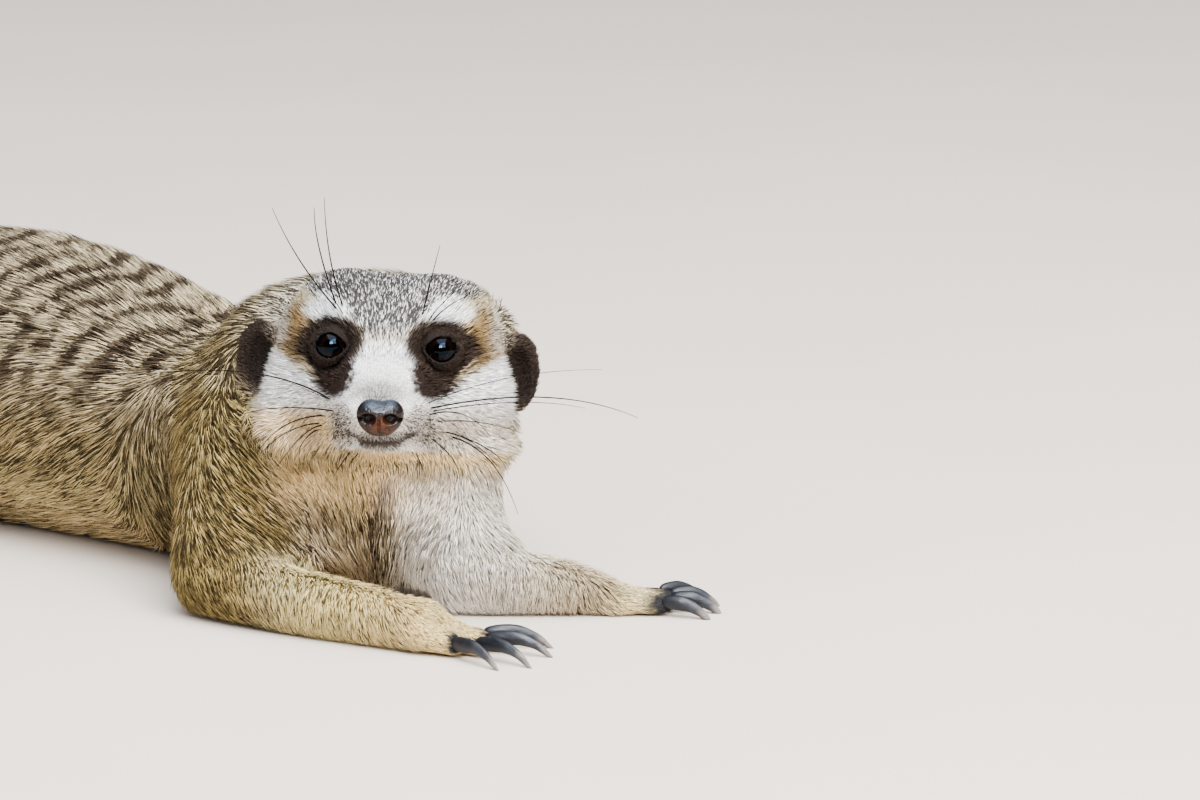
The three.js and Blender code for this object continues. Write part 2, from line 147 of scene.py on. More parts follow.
# %% [markdown]
# ## Working with whole meshes
#
# Meshes of a million faces are only quick to make when whole arrays are handed over at once. A few helpers
# read a mesh into arrays and write it back.

# %% Arrays and pieces
def new_piece(name, points, faces):
    """A smooth object from points in metres and faces that all have the same number of corners."""
    mesh = bpy.data.meshes.new(name)
    mesh.vertices.add(len(points))
    mesh.vertices.foreach_set("co", np.asarray(points, np.float32).ravel())
    corners = np.asarray(faces, np.int32)
    mesh.loops.add(corners.size)
    mesh.loops.foreach_set("vertex_index", corners.ravel())
    mesh.polygons.add(len(corners))
    mesh.polygons.foreach_set("loop_start", np.arange(0, corners.size, corners.shape[1], dtype=np.int32))
    mesh.update(calc_edges=True)
    smooth(mesh)
    return placed(name, mesh)


def smooth(mesh):
    mesh.polygons.foreach_set("use_smooth", np.ones(len(mesh.polygons), bool))


def read(items, key, width, kind=np.float32):
    values = np.empty(len(items) * width, kind)
    items.foreach_get(key, values)
    return values.reshape(-1, width) if width > 1 else values


def points_of(mesh):
    return read(mesh.vertices, "co", 3).astype(float)


def normals_of(mesh):
    return read(mesh.vertices, "normal", 3).astype(float)


def edges_of(mesh):
    return read(mesh.edges, "vertices", 2, np.int32)


def set_points(mesh, points):
    mesh.vertices.foreach_set("co", np.asarray(points, np.float32).ravel())
    mesh.update()


# %% [markdown]
# ## Evening and remeshing
#
# Two tools shape the skin. Evening moves every point towards its neighbours, which rounds a surface, and it
# blends any other values on it in the same way. A voxel remesh lays one even mesh around whatever a piece
# holds, so that parts which touch or cross become one.

# %% Evening and remeshing
def evened(values, edges, rounds, share=0.5):
    """Moves each point's values towards its neighbours' mean, round by round."""
    a, b = edges.T
    count = np.maximum(np.bincount(edges.ravel(), minlength=len(values)), 1)[:, None]
    for _ in range(rounds):
        total = np.stack(
            [
                np.bincount(a, column[b], len(values)) + np.bincount(b, column[a], len(values))
                for column in values.T
            ],
            axis=1,
        )
        values = values + share * (total / count - values)
    return values


def settled(piece, kind, **settings):
    """Adds one modifier, and makes the mesh that comes out of it the piece's own."""
    modifier = piece.modifiers.new(kind.lower(), kind)
    for key, value in settings.items():
        setattr(modifier, key, value)
    bpy.context.view_layer.update()
    evaluated = piece.evaluated_get(bpy.context.evaluated_depsgraph_get())
    mesh = bpy.data.meshes.new_from_object(evaluated)
    piece.modifiers.clear()
    piece.data = mesh
    return mesh


def remeshed(piece, size):
    return settled(piece, "REMESH", mode="VOXEL", voxel_size=size)


def ramp(x, low, high):
    """0 below low, 1 above high, and smooth between."""
    t = np.clip((x - low) / (high - low), 0, 1)
    return t * t * (3 - 2 * t)


# %% [markdown]
# ## The coat, part by part
#
# A meerkat's coat is short and close on the muzzle and feet, longer on the cheeks and long and loose on
# neck and trunk. One table holds this, in millimetres: how deep the coat lies over the skin, how long, wide
# and upright its tufts are, how many grow on each square millimetre, how far the faceted solid is rounded,
# and how far creases beside it are filled. A part takes the first row whose name its own name starts with.

# %% The coat's table
COLUMNS = ("depth", "length", "width", "lift", "density", "rounding", "fillet")
COAT = {
    "head": (1.2, 4.2, 0.115, 0.55, 7.0, 0.4, 0),
    "muzzle": (0.7, 2.0, 0.095, 0.42, 9.5, 0.18, 0),
    "lower_jaw": (0.8, 2.8, 0.1, 0.36, 8.0, 0.25, 0),
    "neck": (2.8, 10.5, 0.16, 0.55, 3.6, 1.0, 3),
    "chest": (2.8, 9.5, 0.15, 0.48, 3.4, 1.0, 7),
    "belly": (3.0, 10.0, 0.17, 0.5, 2.6, 1.0, 5),
    "rump": (2.8, 10.0, 0.2, 0.5, 2.0, 1.0, 4),
    "tail": (1.5, 6.5, 0.2, 0.38, 2.4, 0.5, 1),
    "upper_arm": (2.4, 8.0, 0.15, 0.5, 4.0, 1.0, 9),
    "forearm": (1.5, 5.2, 0.12, 0.5, 4.8, 0.6, 5),
    "forefoot": (0.6, 2.4, 0.11, 0.32, 7.0, 0.08, 0),
    "thigh": (2.4, 8.0, 0.17, 0.45, 2.9, 1.0, 8),
    "shank": (1.4, 5.5, 0.15, 0.4, 3.6, 1.0, 7),
    "hindfoot": (0.6, 2.8, 0.12, 0.3, 5.0, 0.3, 3),
    "ear": (0.2, 2.2, 0.11, 0.5, 6.5, 0.05, 0),
}
APART = ("eye_", "nose", "whisker", "brow_bristle")
FLESH = [name for name in frame["nodes"] if not name.startswith(APART) and "claw" not in name]
CLAWS = [name for name in frame["nodes"] if "claw" in name]
HAIRS = [name for name in frame["nodes"] if name.startswith(APART[2:])]
EARS = ("ear_right", "ear_left")


def coat_row(name):
    return next(row for start, row in COAT.items() if name.startswith(start))


COAT_ROWS = np.array([coat_row(name) for name in FLESH])
print(len(FLESH), "soft solids,", len(CLAWS), "claws,", len(HAIRS), "long hairs")

# %% [markdown]
# ## One skin
#
# The real animal has no seams, but the solids are parted. A voxel remesh around copies of all soft solids
# closes the thin gaps between them and gives one even mesh. Every point of it is then told which solids it
# lies near, as weights that fade into each other. Through these weights each point gets its own values from
# the table. The ears are so thin that they join the skin later.

# %% Gather the soft solids
SKIN_VOXEL = 1.2 * MM
SOFT_VOXEL = 1.6 * MM
WEIGHT_ROUNDS = 12  # of evening, to let the parts' weights fade into each other


def gathered(names):
    points, faces, owners = [], [], []
    start = 0
    for name in names:
        mesh = frame["nodes"][name].data
        mesh.calc_loop_triangles()
        points.append(points_of(mesh))
        faces.append(read(mesh.loop_triangles, "vertices", 3, np.int32) + start)
        owners.append(np.full(len(faces[-1]), FLESH.index(name)))
        start += len(points[-1])
    return np.concatenate(points), np.concatenate(faces), np.concatenate(owners)


solid_points, solid_faces, solid_owner = gathered(FLESH)
nearest_solid = BVHTree.FromPolygons(solid_points.tolist(), solid_faces.tolist())


def part_weights(mesh, rounds=WEIGHT_ROUNDS):
    """For each point of a mesh, how much it belongs to each soft solid."""
    points = points_of(mesh)
    owner = solid_owner[[nearest_solid.find_nearest(p)[2] for p in points.tolist()]]
    weights = np.zeros((len(points), len(FLESH)))
    weights[np.arange(len(points)), owner] = 1
    return evened(weights, edges_of(mesh), rounds)


def from_table(weights, column):
    """A column of the coat's table, for each point."""
    return (weights @ COAT_ROWS)[:, COLUMNS.index(column)]


body_points, body_faces, _ = gathered([name for name in FLESH if name not in EARS])
skin = new_piece("skin", body_points, body_faces)
mesh = remeshed(skin, SOFT_VOXEL)
print("first skin:", len(mesh.polygons), "faces")

# %% [markdown]
# ## Creases
#
# The solids of a leg and of the body meet in a sharp crease, where loose skin bridges it on the animal.
# Moving the skin out, remeshing it and moving it back in fills such creases and leaves the rest where it
# was. The table says how far. Round the ears nothing is filled, because they stand free.

# %% Fill the creases
def offset(mesh, distance, rounds=4):
    """Moves a mesh along its evened normals, by a distance in metres for each point."""
    normals = unit(evened(normals_of(mesh), edges_of(mesh), rounds))
    set_points(mesh, points_of(mesh) + normals * distance[:, None])


EAR_CLEAR = (9, 22)  # millimetres from an ear's middle: no filling within the first, all past the second


def fillet(mesh):
    """How far creases are filled at each point, in metres."""
    points = points_of(mesh)
    away = np.min([np.linalg.norm(points - middle(name), axis=1) for name in EARS], axis=0) / MM
    return from_table(part_weights(mesh), "fillet") * ramp(away, *EAR_CLEAR) * MM


offset(mesh, fillet(mesh))
mesh = remeshed(skin, SOFT_VOXEL)
offset(mesh, -fillet(mesh))
mesh = remeshed(skin, SKIN_VOXEL)
print("creases filled:", len(mesh.polygons), "faces")

# %% [markdown]
# ## Rounding, and room for the coat
#
# The solids reach out to the tips of the coat, so the skin lies inside them by the coat's depth. First the
# facets are rounded, a lot on the trunk and hardly at all on the feet, with an extra sweep behind the near
# shoulder, where skin is stretched between shoulder and flank. Then the skin moves inwards, and less where
# its underside is pressed against the floor.

# %% Round it and draw it in
ROUNDING_ROUNDS = 50
SWEEP = {"at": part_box("upper_arm_right")[0][0], "wide": 13 * MM, "rounds": 120, "fade": 10}
SWEEP_TOP = HEAD_AT[2] - 12 * MM
UNDERSIDE_DEPTH = 0.2  # the share of the coat's depth that is left where it is pressed against the floor

edges = edges_of(mesh)
points = points_of(mesh)
near_side = ramp(-normals_of(mesh)[:, 1], -0.3, 0.2) * (points[:, 2] < SWEEP_TOP)
swept = np.exp(-(((points[:, 0] - SWEEP["at"]) / SWEEP["wide"]) ** 2)) * near_side
swept = evened(swept[:, None], edges, SWEEP["fade"])
set_points(mesh, evened(points, edges, SWEEP["rounds"], 0.5 * swept))

weights = part_weights(mesh)
rounding = from_table(weights, "rounding")[:, None]
points = evened(points_of(mesh), edges, ROUNDING_ROUNDS, 0.5 * rounding)
set_points(mesh, points)
pressed = ramp(-normals_of(mesh)[:, 2], 0.3, 0.9) * (1 - ramp(points[:, 2], 1 * MM, 6 * MM))
offset(mesh, -from_table(weights, "depth") * (1 - (1 - UNDERSIDE_DEPTH) * pressed) * MM)
print("skin drawn in by up to", round(float(from_table(weights, "depth").max()), 1), "mm")

# %% [markdown]
# ## Ears
#
# A meerkat's ears are small round flaps with hardly any hair, so they are remeshed in finer squares, and
# only then joined to the skin by one last remesh around both.

# %% Join the ears
EAR_VOXEL = 0.5 * MM
SKIN_CLEAR = 0.02 * MM  # how far the skin stays above the floor

ear_points, ear_faces, _ = gathered(EARS)
ears = new_piece("ears", ear_points, ear_faces)
ear_mesh = remeshed(ears, EAR_VOXEL)
set_points(ear_mesh, evened(points_of(ear_mesh), edges_of(ear_mesh), 6))
bpy.ops.object.select_all(action="DESELECT")
for piece in (ears, skin):
    piece.select_set(True)
bpy.context.view_layer.objects.active = skin
bpy.ops.object.join()
mesh = remeshed(skin, SKIN_VOXEL)
points = evened(points_of(mesh), edges_of(mesh), 2)
points[:, 2] = np.maximum(points[:, 2], SKIN_CLEAR)
set_points(mesh, points)
print("with ears:", len(mesh.polygons), "faces")

# %% [markdown]
# ## Finer skin on the face
#
# Lids and lips are a fraction of a millimetre thick, much finer than the body's squares. Only the front of
# the face and the toes are divided further, twice round the eyes and on the muzzle, so that the whole skin
# stays light.

# %% Divide the face
def divided(mesh, chosen):
    """Divides the faces that chosen picks by their middles, given in metres."""
    work = bmesh.new()
    work.from_mesh(mesh)
    centres = np.array([face.calc_center_median() for face in work.faces])
    picked = chosen(centres)
    edge_set = {edge for face, keep in zip(work.faces, picked) if keep for edge in face.edges}
    bmesh.ops.subdivide_edges(work, edges=list(edge_set), cuts=1, use_grid_fill=True)
    work.to_mesh(mesh)
    work.free()
    mesh.update()


def near_eyes(h, reach):
    return (np.hypot(np.abs(h[:, 0]) - EYE_SPREAD, h[:, 2]) < reach) & (h[:, 1] < 3)


def near_fore_claws(points, reach):
    roots = [middle(name) for name in CLAWS if name.startswith("fore")]
    return np.min([np.linalg.norm(points - root, axis=1) for root in roots], axis=0) < reach


def fine_places(points):
    h = in_head(points)
    return near_eyes(h, 9) | ((h[:, 1] < -12) & (h[:, 2] > -24)) | near_fore_claws(points, 13 * MM)


def finest_places(points):
    h = in_head(points)
    return near_eyes(h, 7) | ((h[:, 1] < -23) & (h[:, 2] > -22))


divided(mesh, fine_places)
divided(mesh, finest_places)
edges = edges_of(mesh)
print("with a finer face:", len(mesh.polygons), "faces")

# %% [markdown]
# ## Lids
#
# The lids are a thin layer of skin that slides over the eyeball, so they are part of a slightly larger ball
# with an almond opening. Skin inside the opening is pushed back behind the eyeball's surface, skin round it
# is laid on the lids' ball with a raised rim and a fold, and both fade out into the face.

# %% Lids
EYE_RADIUS = (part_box("eye_right")[1][1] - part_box("eye_right")[0][1]) / 2 / MM
LID_THICK = 0.5
LID_RIM = {"at": 1.17, "half": 0.1, "high": 0.17}  # places as shares of the opening's half width
LID_FOLD = {"at": 1.62, "half": 0.12, "deep": 0.25}
OPENING = (3.5, 3.15)  # half width and half height between the lids
BEHIND_BALL = 0.9  # how far the skin inside the opening lies behind the eyeball's front


def eye_measures(h, side):
    """Ahead of an eye's centre, off its line of sight, and place in its opening: 1 on the lids' edge."""
    gaze = unit(np.array([side * 0.08, -math.cos(FACE_TIP), math.sin(FACE_TIP)]))
    across = unit(np.cross((0, 0, 1), gaze))
    up = np.cross(gaze, across)
    offset = h - (side * EYE_SPREAD, 0, 0)
    ahead, u, w = offset @ gaze, offset @ across, offset @ up
    inner = np.maximum(0, -side * u / OPENING[0])
    place = np.hypot(u / (OPENING[0] * (1 + 0.12 * inner)), w * (1 + 0.3 * inner**2) / OPENING[1])
    return gaze, ahead, np.hypot(u, w), w, place


def bell(x, at, half):
    """A smooth bell: 1 where x is at its middle."""
    return np.exp(-(((x - at) / half) ** 2))


def lid_skin(h):
    for side in (-1, 1):
        gaze, ahead, lateral, w, place = eye_measures(h, side)
        rim = bell(place, LID_RIM["at"], LID_RIM["half"]) * (1 + 0.5 * (w > 0))
        fold = bell(place, LID_FOLD["at"], LID_FOLD["half"])
        radius = EYE_RADIUS + LID_THICK + LID_RIM["high"] * rim - LID_FOLD["deep"] * fold
        ball = np.sqrt(np.maximum(radius**2 - lateral**2, 0)) - 3 * np.maximum(lateral - radius, 0)
        lids = 0.5 * (ahead + ball + np.sqrt((ahead - ball) ** 2 + 0.6))
        pit = np.sqrt(np.maximum(EYE_RADIUS**2 - lateral**2, 0)) - BEHIND_BALL
        inside = 1 - ramp(place, 0.96, 1.08)
        goal = inside * pit + (1 - inside) * lids
        hold = (1 - ramp(lateral, 6.5, 9)) * (ahead > -6)
        h = h + gaze * ((goal - ahead) * hold)[:, None]
    return h


print("eyeballs of", round(EYE_RADIUS, 2), "mm, lids", LID_THICK, "mm thick")

# %% [markdown]
# ## Muzzle, brow and crown
#
# The whisker pads, the brow and the crown are soft swellings, and the chin comes forward a little. Each is
# a push that is strongest at its middle and fades out, along the skin's normals or in one direction. The
# closed mouth is a shallow groove along a curved line. The lids come last, so that nothing moves them
# again.

# %% Sculpt the face
# Each swelling has a middle, a reach and a height, in millimetres in the head's frame.
WHISKER_PAD = ((7.2, -20, -14), (4.5, 6, 4), 0.7)
BROW = ((14.5, -4, 8.5), (6, 5, 2.6), 0.8)
CHIN = ((0, -18.5, -19.5), (8.5, 5, 4), (0, -1.4, -2.3))
CROWN = (
    ((-10.5, 12, 15), (7, 12, 6), 1.8),
    ((11.5, 12, 15), (7, 12, 6), 0.8),
    ((-31, 18, 13), (8, 14, 9), -2.6),
)
LIPS = {"half": 0.6, "deep": 0.9}
MUZZLE_BACK = -8  # the mouth and its markings lie ahead of this


def swollen(h, centre, reach, push):
    """Moves points near a centre by one push, or by a push for each point."""
    near = np.exp(-(np.linalg.norm((h - centre) / reach, axis=1) ** 2))
    return h + near[:, None] * push


def mouth_line(h):
    """How far each point lies above the line between the lips."""
    x, height = on_face(h)
    return height + 24.0 - 0.02 * x**2


points = points_of(mesh)
h = in_head(points)
normals = normals_of(mesh) @ HEAD_AXES.T
for side in (-1, 1):
    for (x, y, z), reach, height in (WHISKER_PAD, BROW):
        h = swollen(h, (side * x, y, z), reach, height * normals)
h = swollen(h, CHIN[0], CHIN[1], np.array(CHIN[2]))
for centre, reach, height in CROWN:
    h = swollen(h, centre, reach, height * normals)
lips = bell(mouth_line(h), 0, LIPS["half"]) * (1 - ramp(np.abs(h[:, 0]), 10, 13)) * (h[:, 1] < MUZZLE_BACK)
h = h - normals * (lips * LIPS["deep"])[:, None]
h = lid_skin(h)
points = from_head(h)
set_points(mesh, points)
print("mouth line", LIPS["deep"], "mm deep")

# %% [markdown]
# ## Toes
#
# A forefoot has four toes that lie side by side, with a crease between each two. The creases are pressed
# into the skin between neighbouring claws, deepest at the claws and gone at the palm.

# %% Creases between the toes
TOE = {"ahead": (-6, -1), "long": 10, "half": 0.9, "deep": 1.5}
ROOT_POINTS = 6  # how many of a claw's points make up its root


def claw_root(name):
    """The place where a claw leaves its foot."""
    points = points_of(frame["nodes"][name].data)
    foot = middle(name.split("_claw")[0])
    near = np.argsort(np.linalg.norm((points - foot)[:, :2], axis=1))[:ROOT_POINTS]
    return points[near].mean(axis=0)


def toe_creases(points, foot):
    roots = [claw_root(name) for name in CLAWS if name.startswith(foot)]
    tips = [middle(name) for name in CLAWS if name.startswith(foot)]
    depth = np.zeros(len(points))
    for k in range(len(roots) - 1):
        between = (roots[k] + roots[k + 1]) / 2
        heading = unit(((tips[k] + tips[k + 1]) / 2 - between) * (1, 1, 0))
        offset = (points - between) / MM
        back = -offset @ heading
        aside = np.abs(offset @ np.array([-heading[1], heading[0], 0]))
        near = ramp(back, *TOE["ahead"]) * (1 - ramp(back, 0.3 * TOE["long"], TOE["long"]))
        depth = np.maximum(depth, near * bell(aside, 0, TOE["half"]))
    return depth * TOE["deep"] * MM


crease = sum(toe_creases(points, foot) for foot in ("forefoot_right", "forefoot_left"))
points = points - normals_of(mesh) * crease[:, None]
points[:, 2] = np.maximum(points[:, 2], SKIN_CLEAR)
set_points(mesh, points)
print("creases up to", round(float(crease.max() / MM), 1), "mm deep")

# %% [markdown]
# ## Lines through the body
#
# Hair follows the body's length, and the bands lie across it, so both need a line through the middle of
# trunk and tail. It is found slice by slice from the solids, and calmed, because a kink in the line would
# show as a kink in the coat.

# %% Centre lines
def centre_line(names, slices, axis):
    """The middle of some solids, slice by slice along a level axis."""
    points = np.concatenate([points_of(frame["nodes"][name].data) for name in names])
    axis = unit(np.array([axis[0], axis[1], 0.0]))
    side = np.cross((0, 0, 1), axis)
    along = points @ axis
    steps = np.linspace(along.min(), along.max(), slices + 1)
    line = []
    for low, high in zip(steps, steps[1:]):
        here = points[(along >= low) & (along <= high)]
        if len(here) > 3:
            across = here @ side
            level = (here[:, 2].min() + here[:, 2].max()) / 2
            line.append(axis * (low + high) / 2 + side * (across.min() + across.max()) / 2 + (0, 0, level))
    return np.array(line)


def calmed(line, rounds):
    """A line of points without its kinks; its ends stay."""
    for _ in range(rounds):
        line[1:-1] = (line[:-2] + 2 * line[1:-1] + line[2:]) / 4
    return line


def nearest_on(line, points):
    """For each point: how far along the line its nearest place is, the line's direction and that place."""
    steps = np.linspace(0, len(line) - 1, 12 * len(line))
    fine = np.stack([np.interp(steps, np.arange(len(line)), column) for column in line.T], axis=1)
    run = np.concatenate([[0], np.cumsum(np.linalg.norm(np.diff(fine, axis=0), axis=1))])
    directions = unit(calmed(unit(np.gradient(fine, axis=0)), 60))
    place = np.empty(len(points), int)
    for start in range(0, len(points), 20000):
        part = points[start : start + 20000]
        place[start : start + 20000] = np.argmin(
            ((part[:, None, :2] - fine[None, :, :2]) ** 2).sum(axis=2), axis=1
        )
    return run[place], directions[place], fine[place]


TRUNK = ("chest", "belly", "rump")
backwards = unit(middle("rump")[:2] - middle("chest")[:2])
trunk_line = centre_line(TRUNK, 9, backwards)
tail_stops = [middle("rump"), *(middle("tail_" + part) for part in ("base", "middle", "tip"))]
tail_line = np.concatenate(
    [
        centre_line(["tail_base"], 3, tail_stops[2] - tail_stops[0]),
        centre_line(["tail_middle"], 3, tail_stops[3] - tail_stops[1]),
        centre_line(["tail_tip"], 4, tail_stops[3] - tail_stops[2]),
    ]
)
tail_line = calmed(tail_line, 4)
print("trunk line:", len(trunk_line), "points, tail line:", len(tail_line), "points")

# %% [markdown]
# ## The lie of head, trunk and front
#
# Hair grows from the nose back over the head and down the neck, and from the shoulders to the tail, hanging
# down the flanks. In front it runs down and forwards over breast and arms, so there is a parting on each
# shoulder where the two directions leave each other. Each part gets a plain rule that takes points and
# normals and gives directions.

# %% Rules for head, trunk and front
DOWN = np.array([0.0, 0.0, -1.0])
NOSE_AT = np.array([-1.0, -30.0, -9.0])  # where the lie of the face's hair starts, in the head's frame
BREAST = {"at": HEAD_AT[0] - 3 * MM, "wide": 24 * MM}  # the line down the breast towards which its hair runs
NEAR_PARTING = {"at": HEAD_AT[0] - 47 * MM, "lean": 0.8, "wide": 17 * MM}
FAR_PARTING = {"at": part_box("upper_arm_left")[0][0] + 14 * MM, "wide": 6 * MM}


def lie_head(points, normals):
    away = unit(in_head(points) - NOSE_AT)
    away[:, 2] -= 0.1
    return away @ HEAD_AXES


def lie_trunk(points, normals):
    _, direction, _ = nearest_on(trunk_line, points)
    hanging = 0.1 + 0.8 * (1 - np.abs(normals[:, 2:3]))
    return unit(direction) + DOWN * hanging


def lie_front(points, normals):
    """Neck, breast and shoulders: down and along the arms between the partings, backwards outside them."""
    x = points[:, 0]
    inward = np.clip((BREAST["at"] - x) / BREAST["wide"], -1, 1)[:, None]
    forwards = DOWN + np.array([0.95, 0, 0]) * inward
    parting = NEAR_PARTING["at"] + NEAR_PARTING["lean"] * (points[:, 2] - HEAD_AT[2])
    near = ramp(x - parting, -NEAR_PARTING["wide"], NEAR_PARTING["wide"])[:, None]
    far = ramp(x - FAR_PARTING["at"], -FAR_PARTING["wide"], FAR_PARTING["wide"])[:, None]
    front = ramp(-normals[:, 1:2] - 0.55 * np.maximum(normals[:, 2:3], 0), -0.35, 0.25)
    outwards = DOWN + np.array([0.7, 0.1, 0])
    facing = (1 - far) * forwards + far * outwards
    share = near * front
    return share * unit(facing) + (1 - share) * unit(lie_trunk(points, normals))


print("the near parting is", round(2 * NEAR_PARTING["wide"] / MM), "mm wide")

# %% [markdown]
# ## The lie of legs, feet, ears and tail
#
# On the forearms the hair hangs down and back, on the feet it points at the toes, and on the tail it runs
# to the tip. Most of these rules are one direction for the whole part. A table then names a rule for each
# part.

# %% Rules for legs, feet, ears and tail
def lie_along(start, end, hang=0.0):
    def rule(points, normals):
        return np.broadcast_to(unit(end - start) + hang * DOWN, points.shape)

    return rule


def lie_forearm(side):
    """Down and outwards over the arm, leaning back at the elbow and forwards at the wrist."""
    elbow, wrist = middle("upper_arm_" + side) * (1, 1, 0), middle("forefoot_" + side) * (1, 1, 0)
    reach = unit(wrist - elbow)
    outer = np.array([0, -1.0, 0]) if side == "right" else np.array([0, -0.6, 0])

    def rule(points, normals):
        along = (points - elbow) @ reach / np.linalg.norm(wrist - elbow)
        lean = np.interp(along, (0.2, 0.5, 0.75, 1.0), (0.5, -0.15, 0.1, 0.9))
        return DOWN + 0.7 * outer + reach * lean[:, None]

    return rule


def lie_tail(points, normals):
    _, direction, _ = nearest_on(tail_line, points)
    return direction


def lie_ear(points, normals):
    outwards = np.sign(in_head(points)[:, :1]) * HEAD_X
    return outwards + 0.4 * HEAD_Y - 0.5 * DOWN


LEVEL = np.array([1, 1, 0])
LIE = {
    "head": lie_head,
    "muzzle": lie_head,
    "lower_jaw": lie_head,
    "ear": lie_ear,
    "neck": lie_front,
    "chest": lie_front,
    "upper_arm": lie_front,
    "belly": lie_trunk,
    "rump": lie_trunk,
    "tail": lie_tail,
}
for side in ("right", "left"):
    hand, arm = middle("forefoot_" + side), middle("forearm_" + side)
    toes, heel = middle(f"hindfoot_{side}_claw_2"), middle("hindfoot_" + side)
    LIE["forearm_" + side] = lie_forearm(side)
    LIE["forefoot_" + side] = lie_along(arm * LEVEL, hand * LEVEL, 0.2)
    LIE["thigh_" + side] = lie_along(middle("chest"), middle("rump"), 0.9)
    LIE["shank_" + side] = lie_along(middle("shank_" + side), heel, 0.4)
    LIE["hindfoot_" + side] = lie_along(heel * LEVEL, toes * LEVEL, 0.1)
print(len(LIE), "rules for the lie of the coat")

# %% [markdown]
# ## The whole lie
#
# The rules are mixed by the skin's part weights, laid along the surface and evened, little on the face and
# more on the body. Where two directions cancel out, the coat parts and stands up, so that is kept as well.

# %% Mix the rules
LIE_ROUNDS = 40


def along_surface(vectors, normals):
    return vectors - normals * (vectors * normals).sum(axis=1, keepdims=True)


def weight_of(weights, *starts):
    return sum(weights[:, column] for column, name in enumerate(FLESH) if name.startswith(starts))


points, normals = points_of(mesh), normals_of(mesh)
weights = part_weights(mesh, 10)
lie = np.zeros_like(points)
for column, name in enumerate(FLESH):
    rule = next(rule for start, rule in LIE.items() if name.startswith(start))
    here = weights[:, column] > 0.001
    lie[here] += unit(rule(points[here], normals[here])) * weights[here, column : column + 1]
calm = 1 - weight_of(weights, "head", "muzzle", "ear")
lie = evened(along_surface(lie, normals), edges, LIE_ROUNDS, (0.08 + 0.42 * calm)[:, None])
lie = along_surface(lie, normals)
parted = 1 - ramp(np.linalg.norm(lie, axis=1), 0.1, 0.6)
lie = unit(lie)
print("lie of the coat set for", len(lie), "points")

# %% [markdown]
# ## Markings
#
# Skin and coat carry the same markings, so both take them from the same rules. Each marking is a mask
# between 0 and 1, worked out from named places: an oval on the face, a stretch of the back, a side of the
# body. The materials later lay one colour after the other through these masks. A slow wobble keeps the
# edges from looking drawn.

# %% Wobble and ovals
def wobble(points, size):
    """A slow, smooth, repeatable unevenness between about -1 and 1, with features of the given size."""
    p = points * (2 * math.pi / size)
    return (
        np.sin(p[:, 0] + 1.7 * np.sin(0.63 * p[:, 1] + 1.1))
        + np.sin(0.87 * p[:, 1] + 1.9 * np.sin(0.71 * p[:, 2] + 2.3))
        + np.sin(1.13 * p[:, 2] + 1.5 * np.sin(0.59 * p[:, 0] + 0.4))
    ) / 3


def oval(x, z, at_x, at_z, half_x, half_z, tilt=0.0, soft=0.25):
    """A mirrored oval on the face, 1 inside. Tilt raises its outer end, in radians."""
    dx, dz = np.abs(x) - at_x, z - at_z
    u = dx * math.cos(tilt) + dz * math.sin(tilt)
    w = dz * math.cos(tilt) - dx * math.sin(tilt)
    return 1 - ramp(np.hypot(u / half_x, w / half_z), 1 - soft, 1 + soft)


def clipped(mask):
    return np.clip(mask, 0, 1)


def strongest(*masks):
    return clipped(np.maximum.reduce(masks))


trial = wobble(points, 5 * MM)
print("wobble of the skin:", trial.min().round(2), "to", trial.max().round(2))

# %% [markdown]
# ## The face
#
# The face is what a meerkat is known by: a dark patch round each eye that droops towards the nose, white
# brows, cheeks and bridge, tan temples, a crown of pepper and salt, grey whisker pads and a dark band along
# the lips. The pads' grey is partly their own hair and partly painted shade on the muzzle's sides; the band
# is the lips' fine dark hair, widened by painted shade in the mouth's groove and under the nose. Mirrored
# ovals and soft steps draw all of these, in millimetres from the middle between the eyes.

# %% Masks of the face
# Middle, half width, half height, tilt and softness of the ovals.
EYE_PATCH = (14.2, 0.7, 9.1, 6.9, -0.1, 0.14)
EYE_DROOP = (13.3, -5.4, 5.9, 7.6, -0.25, 0.18)
EYE_CORNER = (20.6, 0.2, 3.6, 3.0, -0.3, 0.3)
TEMPLE = (24.6, 2.4, 4.6, 8.6, 0.1, 0.4)
OVALS = {
    "brow": (16.4, 10.0, 7.4, 4.0, 0.36, 0.3),
    # The pads' grey: their own grey hair, and painted shade on the muzzle's sides.
    "pads": (9.8, -19.5, 3.8, 4.6, 0.0, 0.5),
    "above_nose": (0, -11.4, 6.0, 2.9, 0.0, 0.6),
    # The dark under the nose is partly dark hair and partly painted shade beneath the nose.
    "philtrum": (0, -22.6, 6.0, 2.0, 0.0, 0.5),
}
WHITE_TOP = ((0, 6, 8.5, 15, 18, 28, 34), (1.0, 1.0, -1.0, -9.5, -8.5, -1.5, 1.0))  # its height, by x
CROWN_BOW = 0.042  # how fast the crown's lower edge rises to its sides


